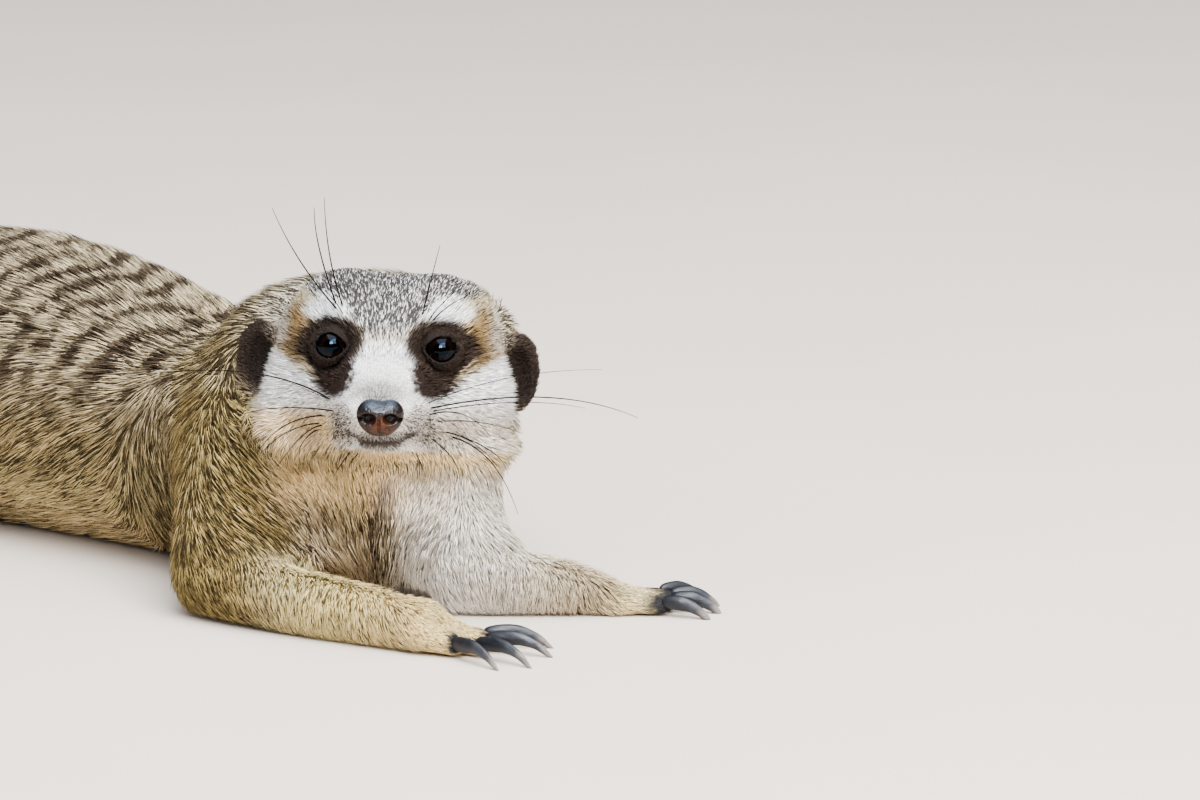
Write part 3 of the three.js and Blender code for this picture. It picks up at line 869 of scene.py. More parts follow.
def face_masks(points):
    """Markings of the head, from the place on the face."""
    h = in_head(points)
    x, z = on_face(h)
    x = x + 0.35 * wobble(points, 5 * MM)
    z = z + 0.35 * wobble(points + 0.004, 4 * MM)
    ax, back = np.abs(x), h[:, 1]
    ahead = 1 - ramp(back, 4, 12)
    rough = 1 + 0.12 * wobble(points, 2.2 * MM)
    face = {name: oval(x, z, *row) * ahead for name, row in OVALS.items()}
    patch = strongest(
        oval(x * rough, z, *EYE_PATCH), oval(x * rough, z, *EYE_DROOP), oval(x, z * rough, *EYE_CORNER)
    )
    face["eye_patch"] = patch * ahead
    face["temple"] = oval(x, z, *TEMPLE) * (1 - ramp(back, 12, 22))
    crown = ramp(z - 1.0 - np.minimum(CROWN_BOW * x**2, 0.52 * ax), 0, 4) * (1 - 0.8 * ramp(ax, 20, 30))
    face["crown"] = crown * (1 - 0.6 * ramp(back, 12, 40))
    face["front"] = 1 - ramp(back, 18, 34)
    face["outer"] = ramp(ax, 24, 28) * ramp(z, -3, 3) * face["front"]
    cheeks = 1 - ramp(back, 14, 28)
    low = (1 - ramp(z, -19, -13)) * ramp(ax, 9, 15) * (1 - 0.55 * ramp(x, 0, 10))
    under = 1 - ramp(z, -26.8, -24.8)
    white = (1 - ramp(z - np.interp(ax, *WHITE_TOP), -1.5, 1.5)) * (1 - ramp(ax, 32.5, 35)) * cheeks
    face["white"] = clipped(white * (1 - 0.85 * low) * (1 - under))
    face["cream"] = strongest(low, under) * (1 - ramp(ax, 32.5, 36)) * cheeks
    # The lips' dark band: their dark hair, widened by painted shade in the mouth's groove.
    face["lips"] = bell(mouth_line(h), 0.2, 2.0) * (1 - ramp(ax, 8, 15)) * (back < MUZZLE_BACK)
    face["bridge"] = (1 - ramp(ax, 5, 9)) * ramp(z, -2.5, 1) * (1 - ramp(z, 3.5, 7))
    return SimpleNamespace(**face)


patched = float(face_masks(points).eye_patch.mean())
print("the eye patches cover", round(100 * patched), "% of the skin's points")

# %% [markdown]
# ## Throat and breast
#
# The throat is cream. Below it a straw-coloured near side of the breast meets the pale far side at a dark
# narrow wedge, where the coat parts and its shaded roots show.

# %% Masks of the breast
BREAST_LINE = ((-57, -33), (-4.2, 0.3))  # where the wedge lies, by height on the face


def breast_masks(points, normals):
    """Markings of throat and breast, which are seen from the front."""
    x, z = on_face(in_head(points))
    x = x + 0.8 * wobble(points, 8 * MM)
    aside = x - np.interp(z, *BREAST_LINE)
    masks = {
        "patch": ramp(x, -27, -19) * (1 - ramp(aside, -0.5, 3)) * (1 - ramp(z + 0.35 * (x + 20), -45, -38)),
        "wedge": bell(aside, 0, 1.9) * (1 - ramp(z, -36, -31)),
        "throat": (1 - ramp(z, -27, -23)) * ramp(z, -50, -36) * ramp(x, -34, -22) * (1 - ramp(x, 14, 24)),
        "pale": ramp(x, -5, 9) * (1 - ramp(z, -36, -26)),
    }
    return {name: mask * ramp(-normals[:, 1], -0.1, 0.35) for name, mask in masks.items()}


print(len(breast_masks(points, normals)), "masks for throat and breast")

# %% [markdown]
# ## Bands
#
# Short dark bands cross the back behind the shoulders, lean backwards down the flanks and break up there.
# The masks give only the place along the trunk, counted in bands, and where bands may show. The material
# draws the bands themselves, so their edges can be as ragged as the hair.

# %% Masks of the trunk
BAND_SPACING = 9.7 * MM
BAND_LEAN = 0.5
BELLY_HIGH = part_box("belly")[1][2]


def back_masks(points, trunk):
    """Which band a point lies in, where bands may show, and the upper, lower and front part of the trunk."""
    run, _, centre = nearest_on(trunk_line, points)
    side = np.abs((points - centre) @ np.array([-backwards[1], backwards[0], 0.0]))
    high = points[:, 2] / BELLY_HIGH
    upper = trunk * ramp(high, 0.42, 0.68)
    phase = (run - BAND_LEAN * side + 1.6 * MM * wobble(points, 19 * MM)) / BAND_SPACING
    broken = ramp(wobble(points + 0.013, 15 * MM) + 0.8 * wobble(points, 6 * MM), -0.75, -0.2)
    fore = 1 - ramp(run + 16 * MM * high, 36 * MM, 104 * MM)
    return {
        "phase": phase,
        "banded": broken * upper * ramp(run, 8 * MM, 22 * MM),
        "upper": upper,
        "lower": trunk - upper,
        "low": trunk * (1 - ramp(high, 0.1, 0.42)) * (1 - fore),
        "fore_trunk": fore * trunk,
    }


print("bands", round(BAND_SPACING / MM, 1), "mm apart")

# %% [markdown]
# ## Bare toes
#
# The toes end in bare, dark slate pads above the claws. They reach a few millimetres back from each claw's
# root, further on the far hand than on the near one.

# %% Mask of the toes
# Where the bare tip of a toe ends, in millimetres from the claw's root: fully bare to fully furred.
TOE_REACH = {"forefoot_right": (1.5, 4.0), "forefoot_left": (3.5, 8.0), "hindfoot": (2.0, 4.5)}


def toe_tips(points):
    """How much each point belongs to the bare tips of the toes."""
    bare = np.zeros(len(points))
    for foot, (near, far) in TOE_REACH.items():
        for name in CLAWS:
            if name.startswith(foot):
                away = np.linalg.norm(points - claw_root(name), axis=1) + 0.9 * MM * wobble(points, 4 * MM)
                bare = np.maximum(bare, 1 - ramp(away, near * MM, far * MM))
    return bare


print("the longest bare toe reaches", max(far for _, far in TOE_REACH.values()), "mm")

# %% [markdown]
# ## Regions of the body
#
# On the body a colour belongs to a region: olive shoulders, a pale far arm, a straw-coloured forearm,
# silvery nape, a dark tip of the tail. Regions follow from the part weights, from the place on the body,
# and from the way the skin faces.

# %% Regions of the body
PARTS = {
    "head": ("head", "muzzle", "lower_jaw"),
    "ear": ("ear",),
    "neck": ("neck",),
    "trunk": TRUNK,
    "tail": ("tail",),
    "arms": ("upper_arm",),
    "fore": ("forearm", "forefoot"),
    "near_fore": ("forearm_right", "forefoot_right"),
    "far_arm": ("upper_arm_left", "forearm_left", "forefoot_left"),
    "far_forearm": ("forearm_left",),
    "thigh": ("thigh",),
    "hind": ("shank", "hindfoot"),
    "feet": ("forefoot", "hindfoot"),
}
ELBOW_X = middle("upper_arm_right")[0]
NEAR_HAND_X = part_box("forefoot_right")[0][0]
FAR_WRIST_X = (middle("forearm_left")[0] - 16 * MM, middle("forefoot_left")[0] - 6 * MM)
TAIL_TIP = (128 * MM, 150 * MM)  # along the tail's line, where its dark tip starts
NAPE_AT = np.array([0.0, 18.0, 8.0])  # in the head's frame


def regions(points, normals, weights, face):
    """How much each point belongs to each region that has a colour of its own."""
    part = SimpleNamespace(**{name: weight_of(weights, *starts) for name, starts in PARTS.items()})
    for name, mask in breast_masks(points, normals).items():
        setattr(part, name, mask * (part.neck + part.trunk + part.arms))
    for name, mask in back_masks(points, part.trunk).items():
        setattr(part, name, mask)
    x, facing_up = points[:, 0], normals[:, 2]
    wrist = ramp(x, *FAR_WRIST_X)
    away = ramp(normals[:, 1] + 0.2 * wobble(points, 14 * MM), 0.05, 0.7)
    part.pale = clipped(np.maximum(part.pale, part.far_arm * (1 - 0.85 * wrist)) * (1 - 0.9 * away))
    # Painted shade: the far forearm darkens in taupe towards its wrist.
    part.shaded = part.far_forearm * wrist
    part.under = part.trunk * ramp(-facing_up, 0.3, 0.9)
    part.tip = part.tail * ramp(nearest_on(tail_line, points)[0], *TAIL_TIP)
    # The near elbow keeps the shoulder's olive and ticks: partly the shoulder's fur, partly painted shade.
    part.elbow = part.near_fore * (1 - ramp(x, ELBOW_X, ELBOW_X + 22 * MM))
    part.hand = part.near_fore * ramp(x, NEAR_HAND_X - 22 * MM, NEAR_HAND_X)
    part.toes = part.feet * toe_tips(points)
    part.topside = 1 - 0.62 * ramp(facing_up + 0.25 * wobble(points, 16 * MM), 0.25, 0.9)
    part.lean_trunk = np.maximum(0.72 * part.lower, 0.92 * part.fore_trunk * part.topside)
    h = in_head(points)
    around_nape = 1 - ramp(np.linalg.norm(h - NAPE_AT, axis=1), 28, 46)
    part.nape = part.neck * around_nape * (0.45 + 0.55 * ramp(np.abs(h[:, 0]), 10, 24))
    part.behind = part.head * (1 - face.front)
    return part


print(len(PARTS), "groups of parts")

# %% [markdown]
# ## A mask for each colour
#
# Each colour gets one mask, mixed from the regions and the marks of the face. The numbers are the strength
# of a colour in a region, so this is the place to change how olive a shoulder or how grey a muzzle is.

# %% Masks of the colours
def colour_masks(face, part):
    """One mask for each colour, in the order in which they are laid."""
    olive = (
        0.92 * part.neck * part.topside
        - part.nape
        + 0.95 * part.arms
        + 0.5 * part.thigh
        + part.lean_trunk
        + 0.35 * part.behind
        + part.elbow
    )
    # The pads' silver and dark are partly painted shade on the muzzle's sides.
    silver = np.maximum.reduce([face.crown, 0.5 * face.bridge, 0.45 * face.pads, 0.6 * face.outer])
    # Lips and philtrum are partly painted shade round the mouth, over the lips' own dark hair.
    marks = np.maximum.reduce(
        [face.eye_patch, 0.86 * face.lips, 0.6 * face.philtrum, 0.58 * face.above_nose, 0.26 * face.pads]
    )
    white = np.maximum(face.white * (1 - 0.4 * face.pads), face.brow)
    return {
        "olive": clipped(olive) * (1 - part.pale) * (1 - part.throat) * (1 - 0.8 * part.patch),
        "straw": clipped(part.fore - part.elbow + 0.6 * part.hind + 0.7 * part.low) * (1 - part.pale),
        "cream": strongest(part.head * face.cream, part.throat, 0.8 * part.under, 0.5 * part.hand),
        "ochre": strongest(0.95 * part.head * face.temple, 0.45 * part.tail, 0.1 * part.upper),
        # Taupe: a patch on the breast, and painted shade at the breast's wedge and on the far forearm.
        "taupe": strongest(0.6 * part.patch, part.wedge, 0.6 * part.shaded),
        "silver": clipped(part.head * silver + 0.55 * part.nape + 0.3 * part.behind),
        "white": strongest(part.head * white, 0.62 * part.pale),
        "dark": strongest(part.head * marks, part.ear, part.tip),
        "slate": part.toes,
    }


print("colour masks are laid over a sandy base")

# %% [markdown]
# ## Ticked hairs
#
# Many hairs of a meerkat end in a dark tip, which gives the crown its pepper and salt and the shoulder its
# grain. This mask is the share of the tufts with dark tips, from none on the white of the face to most on
# the crown.

# %% Mask of the ticked hairs
TICKED = {
    "neck": 0.5,
    "nape": -0.35,
    "arms": 0.5,
    "thigh": 0.3,
    "trunk": 0.12,
    "lower": 0.3,
    "fore_trunk": 0.2,
    "fore": 0.1,
    "elbow": 0.3,
    "hind": 0.25,
    "tail": 0.3,
    "banded": 0.1,
    "wedge": 0.3,
}


def ticked_share(face, part):
    open_face = part.head * (1 - face.crown) * (1 - face.white) * (1 - face.cream) * (1 - face.outer)
    ticked = part.head * (0.72 * face.crown + 0.4 * face.pads + 0.45 * face.lips + 0.1 * face.outer)
    ticked = ticked + 0.12 * open_face + 0.3 * part.behind * (1 - face.crown)
    ticked = ticked + sum(share * getattr(part, name) for name, share in TICKED.items())
    ticked = ticked * (1 - 0.95 * part.pale) * (1 - 0.97 * part.throat) * (1 - 0.8 * part.patch)
    return clipped(ticked * (1 - 0.5 * part.low) * (1 - part.head * face.brow))


def markings(points, normals, weights):
    """All masks for some points of the body."""
    face = face_masks(points)
    part = regions(points, normals, weights, face)
    return {
        **colour_masks(face, part),
        "phase": part.phase,
        "banded": part.banded,
        "ticked": ticked_share(face, part),
    }


def write_masks(mesh, masks):
    for name, values in masks.items():
        mesh.attributes.new(name, "FLOAT", "POINT").data.foreach_set("value", values.astype(np.float32))


skin_masks = markings(points, normals, weights)
write_masks(mesh, skin_masks)
print({name: round(float(values.mean()), 3) for name, values in skin_masks.items()})

# %% [markdown]
# ## The markings' colours
#
# One node group lays the colours over each other through the masks, and the skin's and the coat's materials
# both use it. Small helpers keep the node trees readable: each adds a node or two and gives back the
# output.

# %% Node helpers
def node(tree, kind, **values):
    made = tree.nodes.new(kind)
    for key, value in values.items():
        setattr(made, key, value)
    return made

def put(tree, source, target):
    """Sets a socket to a value, or links another socket to it."""
    if isinstance(source, bpy.types.NodeSocket):
        tree.links.new(source, target)
    else:
        target.default_value = source

def attribute(tree, name):
    return node(tree, "ShaderNodeAttribute", attribute_name=name).outputs["Fac"]

def worked(tree, kind, a, b=0.0, clamp=False):
    """A sum, a product or another simple calculation."""
    made = node(tree, "ShaderNodeMath", operation=kind, use_clamp=clamp)
    put(tree, a, made.inputs[0])
    put(tree, b, made.inputs[1])
    return made.outputs[0]

def added(tree, *names):
    """The sum of some masks, at most 1."""
    total = attribute(tree, names[0])
    for name in names[1:]:
        total = worked(tree, "ADD", total, attribute(tree, name), True)
    return total

def mixed(tree, share, a, b, kind="MIX"):
    made = node(tree, "ShaderNodeMix", data_type="RGBA", blend_type=kind)
    put(tree, share, made.inputs[0])
    put(tree, a, made.inputs[6])
    put(tree, b, made.inputs[7])
    return made.outputs[2]

def ranged(tree, value, low, high, to_low=0.0, to_high=1.0):
    made = node(tree, "ShaderNodeMapRange", interpolation_type="SMOOTHSTEP")
    for target, source in zip(made.inputs, (value, low, high, to_low, to_high)):
        put(tree, source, target)
    return made.outputs[0]

def noise(tree, scale, detail=3.0, stretch=None):
    made = node(tree, "ShaderNodeTexNoise")
    made.inputs["Scale"].default_value = scale
    made.inputs["Detail"].default_value = detail
    place = node(tree, "ShaderNodeTexCoord").outputs["Object"]
    if stretch:
        mapping = node(tree, "ShaderNodeMapping")
        mapping.inputs["Scale"].default_value = stretch
        tree.links.new(place, mapping.inputs["Vector"])
        place = mapping.outputs[0]
    tree.links.new(place, made.inputs["Vector"])
    return made.outputs["Fac"]

def colour(text):
    """A colour from its six hexadecimal digits, as the linear values that Blender works with."""
    channels = [int(text[k : k + 2], 16) / 255 for k in (0, 2, 4)]
    return (*(c / 12.92 if c < 0.04045 else ((c + 0.055) / 1.055) ** 2.4 for c in channels), 1)

def mottled(tree, scale, detail, first, second):
    """Two colours, mixed by a noise."""
    return mixed(tree, noise(tree, scale, detail), colour(first), colour(second))

def grey(tree, value):
    """A value as a colour."""
    made = node(tree, "ShaderNodeCombineColor")
    for channel in range(3):
        put(tree, value, made.inputs[channel])
    return made.outputs[0]

# %% [markdown]
# ## Layers of colour
#
# The sandy base comes first and then one colour after the other, so the dark of the eye patches lies over
# the white of the face. The bands are a wave along the trunk whose edge two noises fray, at the scale of a
# lock and of a hair. A last slow noise keeps any patch from being one flat colour.

# %% The shared group of markings
COLOURS = {
    "base": "dccdad",
    "olive": "b4a06e",
    "straw": "e8d8a3",
    "cream": "f0d6a8",
    "ochre": "9e845a",
    "taupe": "a8927a",
    "silver": "e8e5e1",
    "white": "ffffff",
    "dark": "40352e",
    "slate": "3a3c42",
    "umber": "4a3b30",
}
LAYERS = [name for name in COLOURS if name not in ("base", "umber")]

def markings_group():
    tree = bpy.data.node_groups.new("Markings", "ShaderNodeTree")
    tree.interface.new_socket("Color", in_out="OUTPUT", socket_type="NodeSocketColor")
    result = colour(COLOURS["base"])
    for layer in LAYERS:
        result = mixed(tree, attribute(tree, layer), result, colour(COLOURS[layer]))
    wave = worked(tree, "COSINE", worked(tree, "MULTIPLY", attribute(tree, "phase"), 2 * math.pi))
    ragged = worked(tree, "ADD", wave, ranged(tree, noise(tree, 700, 3), 0.3, 0.7, -0.35, 0.35))
    ragged = worked(tree, "ADD", ragged, ranged(tree, noise(tree, 150, 1), 0.35, 0.65, -0.5, 0.6))
    band = worked(tree, "MULTIPLY", ranged(tree, ragged, -0.1, 0.35), attribute(tree, "banded"))
    result = mixed(tree, worked(tree, "MULTIPLY", band, 0.9), result, colour(COLOURS["umber"]))
    patchy = ranged(tree, noise(tree, 90, 4), 0.3, 0.7, 0.88, 1.08)
    result = mixed(tree, 1.0, result, grey(tree, patchy), "MULTIPLY")
    tree.links.new(result, node(tree, "NodeGroupOutput").inputs[0])
    return tree

MARKINGS = markings_group()
print(len(LAYERS), "colours over the base, and one for the bands")

# %% [markdown]
# ## Skin material
#
# The skin shows between the tufts, at their roots and on the lids. It takes the same markings, a little
# darker, and is bare and almost black where the coat is dark. A fine stretched noise as a bump gives it the
# look of underfur.

# %% Skin material
def new_material(name, roughness, specular=0.5, **fixed):
    material = bpy.data.materials.new(name)
    material.use_nodes = True
    shader = material.node_tree.nodes["Principled BSDF"]
    shader.inputs["Roughness"].default_value = roughness
    shader.inputs["Specular IOR Level"].default_value = specular
    for key, value in fixed.items():
        shader.inputs[key.replace("_", " ")].default_value = value
    return material, material.node_tree, shader

def bumped(tree, shader, height, strength, distance):
    made = node(tree, "ShaderNodeBump")
    made.inputs["Strength"].default_value = strength
    made.inputs["Distance"].default_value = distance
    put(tree, height, made.inputs["Height"])
    tree.links.new(made.outputs[0], shader.inputs["Normal"])

def skin_material():
    material, tree, shader = new_material("skin", 0.75, 0.25)
    group = node(tree, "ShaderNodeGroup", node_tree=MARKINGS)
    under = mixed(tree, added(tree, "white", "cream"), colour("a39a8c"), colour("d2cabd"))
    deep = mixed(tree, 1.0, group.outputs[0], under, "MULTIPLY")
    bare = worked(tree, "MULTIPLY", attribute(tree, "dark"), 0.8)
    deep = mixed(tree, bare, deep, colour("1b1512"))
    tree.links.new(deep, shader.inputs["Base Color"])
    bumped(tree, shader, noise(tree, 900, 4, (1, 1, 0.35)), 0.5, 0.0004)
    return material

skin.data.materials.append(skin_material())
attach(skin, "root")
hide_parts(*FLESH)
print("skin:", len(mesh.polygons), "faces")

# %% [markdown]
# ## An unwrap for the coat
#
# Every tuft needs a small patch of its own in a flat map, so that its colours can be held in an image. An
# unwrap of the skin gives each root a place where its neighbours on the body are its neighbours in the map
# too.

# %% Unwrap the skin
BAKE_MAP = "OFBake"


def unwrap(piece):
    bpy.context.view_layer.objects.active = piece
    for other in bpy.data.objects:
        other.select_set(other is piece)
    piece.data.uv_layers.new(name=BAKE_MAP)
    bpy.ops.object.mode_set(mode="EDIT")
    bpy.ops.mesh.select_all(action="SELECT")
    bpy.ops.uv.smart_project(angle_limit=math.radians(66), island_margin=0.002)
    bpy.ops.object.mode_set(mode="OBJECT")


unwrap(skin)
mesh = skin.data
skin_uv = read(mesh.uv_layers[BAKE_MAP].uv, "vector", 2)
print("unwrapped; the map spans", skin_uv.min(axis=0).round(3), "to", skin_uv.max(axis=0).round(3))

# %% [markdown]
# ## Distances on the face
#
# Hair keeps clear of the lids, the nose and the mouth, and is short beside the ears. So each point of the
# skin is told how far it is from the nose and the ears, and where it lies in the opening of the nearer eye.

# %% Distances on the face
def gap_to(names, points):
    """The distance from each point to the nearest of some solids, in millimetres."""
    trees = []
    for name in names:
        shape = frame["nodes"][name].data
        corners = [list(face.vertices) for face in shape.polygons]
        trees.append(BVHTree.FromPolygons(points_of(shape).tolist(), corners))
    return np.min([[tree.find_nearest(p)[3] for p in points.tolist()] for tree in trees], axis=0) / MM

def opening_place(h):
    """Place in the nearer eye's opening, 1 on the edge of the lids, and large away from the eyes."""
    places = []
    for side in (-1, 1):
        _, ahead, lateral, _, place = eye_measures(h, side)
        places.append(np.where((ahead > -1) & (lateral < 12), place, 9.0))
    return np.minimum(*places)

h = in_head(points)
face_x, face_z = on_face(h)
opening = opening_place(h)
nose_gap = gap_to(["nose"], points)
ear_gap = gap_to(EARS, points)
print("the skin comes within", round(float(nose_gap.min()), 2), "mm of the nose")

# %% [markdown]
# ## How the coat changes over the skin
#
# The table gives each part one length, width, lift and density. Over the skin these change further: the
# hair is shortest round the eyes and on the muzzle and longest on the cheeks, the crown has short close
# hair, the throat a fine dense coat, and the soles are flat. Where the coat parts it stands up.

# %% Fields over the skin
on_head = weight_of(weights, *PARTS["head"])
off_ear = 1 - weight_of(weights, "ear")
cheek = on_head * ramp(np.abs(face_x), 14, 26) * (1 - ramp(face_z, -4, 4))
temple = on_head * ramp(np.abs(face_x), 20, 28) * ramp(face_z, 2, 8)
crown = on_head * ramp(face_z - 1 - CROWN_BOW * face_x**2, 0, 4)
round_eyes = on_head * (1 - ramp(opening, 1.2, 2.8))
near_nose = on_head * (1 - ramp(nose_gap, 0.5, 8))
near_ear = on_head * (1 - ramp(ear_gap, 1, 9))
behind_ear = (1 - on_head) * off_ear * (1 - ramp(ear_gap, 1, 8))
sole = ramp(-normals[:, 2], 0.4, 0.9) * (1 - ramp(points[:, 2], 1.5 * MM, 4 * MM))
toe_tip = toe_tips(points)
lip_gap = np.abs(mouth_line(h)) + 10 * (1 - on_head) + 10 * (h[:, 1] > MUZZLE_BACK)
throat = np.maximum.reduce(list(breast_masks(points, normals).values())) * (1 - on_head)
throat = throat * ramp(h[:, 2], -52, -44)

length = from_table(weights, "length") * (1 - 0.3 * throat) * (1 - 0.5 * crown)
length = length * (1 + 0.55 * cheek + 0.5 * temple - 0.7 * round_eyes) * (1 - 0.3 * near_nose)
length = length * (1 - 0.62 * behind_ear) * (1 - 0.68 * near_ear) * (1 - 0.55 * toe_tip)
width = from_table(weights, "width") * (1 - 0.25 * round_eyes) * (1 + 0.35 * crown - 0.2 * throat)
lift = from_table(weights, "lift") * (1 - 0.5 * sole) * (1 + 0.2 * crown - 0.25 * cheek) + 0.4 * parted
lift = lift * (1 - 0.5 * off_ear * (1 - ramp(ear_gap, 1, 8)))
density = from_table(weights, "density") * (1 + 0.5 * round_eyes + 0.4 * crown + 0.6 * throat)
density = density * (1 - 0.85 * sole) * (1 - 0.4 * toe_tip)
density = density * (opening > 1.1) * ramp(nose_gap, 0.1, 0.35) * ramp(lip_gap, 0.25, 0.6)
print("lengths from", round(float(length.min()), 1), "to", round(float(length.max()), 1), "mm")

# %% [markdown]
# ## Roots
#
# Each triangle of the skin gets a share of the roots that fits its area and its density. The roots are
# spread along the running sum of these shares, one to each equal step, which keeps the coat even where pure
# chance would leave clumps and gaps.

# %% Draw the roots
mesh.calc_loop_triangles()
triangles = read(mesh.loop_triangles, "vertices", 3, np.int32)
loops = read(mesh.loop_triangles, "loops", 3, np.int32)
corner_points = points[triangles]
areas = np.linalg.norm(
    np.cross(corner_points[:, 1] - corner_points[:, 0], corner_points[:, 2] - corner_points[:, 0]), axis=1
) / 2 / MM**2
share = np.cumsum(areas * density[triangles].mean(axis=1))
root_count = int(share[-1])
stops = (np.arange(root_count) + draw.random(root_count)) / root_count * share[-1]
host = np.searchsorted(share, stops).clip(0, len(triangles) - 1)
bary = draw.random((root_count, 2))
bary = np.where(bary.sum(axis=1, keepdims=True) > 1, 1 - bary, bary)
bary = np.concatenate([1 - bary.sum(axis=1, keepdims=True), bary], axis=1)


def at_roots(values, corners=triangles):
    """Values of the skin's points, or of its face corners, taken to the roots."""
    picked = values[corners[host]]
    return (picked * bary.reshape(root_count, 3, *[1] * (values.ndim - 1))).sum(axis=1)


root = at_roots(points)
root_normal = unit(at_roots(normals))
root_lie = at_roots(lie)
root_weights = at_roots(weights)
root_uv = at_roots(skin_uv, loops)
print("skin of", round(float(areas.sum() / 100)), "square centimetres, with", root_count, "roots")

# %% [markdown]
# ## The way of a tuft
#
# A tuft rises from the skin by its lift, bends once and then lies back along the body. Length, width and
# lift vary from tuft to tuft, and each strays a little from the lie of the coat, because hairs that all
# agree look combed.

# %% Directions and sizes of the tufts
BEND_AT = 0.42
SETTLE = 0.3  # the share of the lift that is left towards the tip
ROOT_DEPTH = 0.25 * MM
STRAY = 0.17  # of single tufts, in radians
SWAY = {"by": 0.18, "over": 9 * MM}  # of whole patches
LENGTHS = (0.7, 1.2)  # least and most, as shares of the coat's own value
WIDTHS = (0.7, 1.25)
LIFTS = (0.6, 1.45)

def turned(vectors, axes, angles):
    """Vectors turned about unit axes at right angles to them."""
    return vectors * np.cos(angles)[:, None] + np.cross(axes, vectors) * np.sin(angles)[:, None]

root_lie = unit(along_surface(root_lie, root_normal))
stray = STRAY * draw.normal(size=root_count) + SWAY["by"] * wobble(root, SWAY["over"])
along_skin = turned(root_lie, root_normal, stray)
size = at_roots(length) * draw.uniform(*LENGTHS, root_count) * MM
half = at_roots(width) * draw.uniform(*WIDTHS, root_count) * MM
rise = at_roots(lift) * draw.uniform(*LIFTS, root_count)

def leaned(angle):
    return along_skin * np.cos(angle)[:, None] + root_normal * np.sin(angle)[:, None]

start = root - root_normal * ROOT_DEPTH
bend = start + leaned(rise) * (size * BEND_AT)[:, None]
tip = bend + leaned(rise * SETTLE) * (size * (1 - BEND_AT))[:, None]
print("tufts from", round(float(size.min() / MM), 1), "to", round(float(size.max() / MM), 1), "mm long")

# %% [markdown]
# ## Locks
#
# Real hair clings together in locks, so the bends and tips of near neighbours are drawn towards their
# common middle. Neighbours are tufts in the same cell of a grid, with larger cells where the hair is
# longer. Nothing dips below the floor.

# %% Draw the tufts into locks
LOCK_SIZE = 0.4  # of the tufts' length
LOCK_STEP = 1.5  # from one size of cell to the next
LOCK_BLUR = 0.16  # of a cell, so that locks have no straight edges
LOCK_PULL = 0.42
FLOOR_CLEAR = 0.15 * MM
CELL_KEYS = (1, 4099, 4099**2, 4099**3)  # turn a cell's place and size into one number

lock_step = np.round(np.log(at_roots(length) * LOCK_SIZE) / math.log(LOCK_STEP)).astype(int)
lock_cell = (LOCK_STEP**lock_step * MM)[:, None]
cells = np.floor((root + draw.normal(size=root.shape) * LOCK_BLUR * lock_cell) / lock_cell).astype(int)
_, lock = np.unique(np.column_stack([cells, lock_step]) @ CELL_KEYS, return_inverse=True)
members = np.bincount(lock)[lock][:, None]

def lock_mean(values):
    return np.stack([np.bincount(lock, column)[lock] for column in values.T], axis=1) / members

tip += LOCK_PULL * (lock_mean(tip) - tip)
bend += 0.5 * LOCK_PULL * (lock_mean(bend) - bend)
for place in (start, bend, tip):
    place[:, 2] = np.maximum(place[:, 2], FLOOR_CLEAR)
print(int(lock.max()) + 1, "locks")

# %% [markdown]
# ## Tufts as spindles
#
# Each tuft stands for a few hairs that cling together. It is a spindle: a point at the root, three corners
# where it is thickest, and a point at its tip, so it is closed and costs only six triangles.

# %% Shape the tufts
SPINDLE_HIGH = 0.7  # its height as a share of its half width

across = unit(np.cross(tip - start, root_normal))
outwards = unit(np.cross(across, tip - start))
ring = [
    bend + across * half[:, None],
    bend + outwards * (SPINDLE_HIGH * half)[:, None],
    bend - across * half[:, None],
]
for corner in (ring[0], ring[2]):
    corner[:, 2] = np.maximum(corner[:, 2], FLOOR_CLEAR)
spindles = np.stack([start, *ring, tip], axis=1)
print(len(spindles), "spindles")

# %% [markdown]
# ## Colours of the tufts
#
# A tuft takes its masks at its root, its bend and its tip, so one that crosses the edge of a patch changes
# colour on its way, as real hair does. Each also draws a tone of its own, and a number that decides whether
# it is one of the ticked ones.

# %% Colours and tones of the tufts
tuft_tone = draw.random(root_count)
tuft_pick = draw.random(root_count)
stations = [markings(place, root_normal, root_weights) for place in (start, bend, tip)]
STATION_OF_CORNER = (0, 1, 1, 1, 2)
tuft_masks = {
    name: np.stack([stations[k][name] for k in STATION_OF_CORNER], axis=1) for name in stations[0]
}
print(len(tuft_masks), "masks on", 5 * root_count, "corners")

# %% [markdown]
# ## How far the coat reaches
#
# The solids reach out to the tips of the coat, so a sample of tips is measured against them. Most should
# end close to the solid's surface, and only the longest a little past it.

# %% How far the tips reach
SAMPLE = slice(0, None, 12)
reach = []
for place in tip[SAMPLE].tolist():
    near, facing, _, _ = nearest_solid.find_nearest(place)
    reach.append((Vector(place) - near).dot(facing) / MM)
reach = np.array(reach)
sample_part = root_weights[SAMPLE].argmax(axis=1)
for column, name in enumerate(FLESH):
    here = reach[sample_part == column]
    typical, longest = np.median(here), np.quantile(here, 0.9)
    print(f"{name:18s} tips past the solid: middle {typical:5.1f}, longest tenth {longest:5.1f} mm")

# %% [markdown]
# ## Coat material
#
# The coat takes its colour from the same group of markings. On top of that each tuft has a tone of its own,
# its root lies in shade, less so where the coat is pale, and the ticked ones have dark tips. That is what
# makes the crown look like pepper and salt and the shoulder like ticked straw.

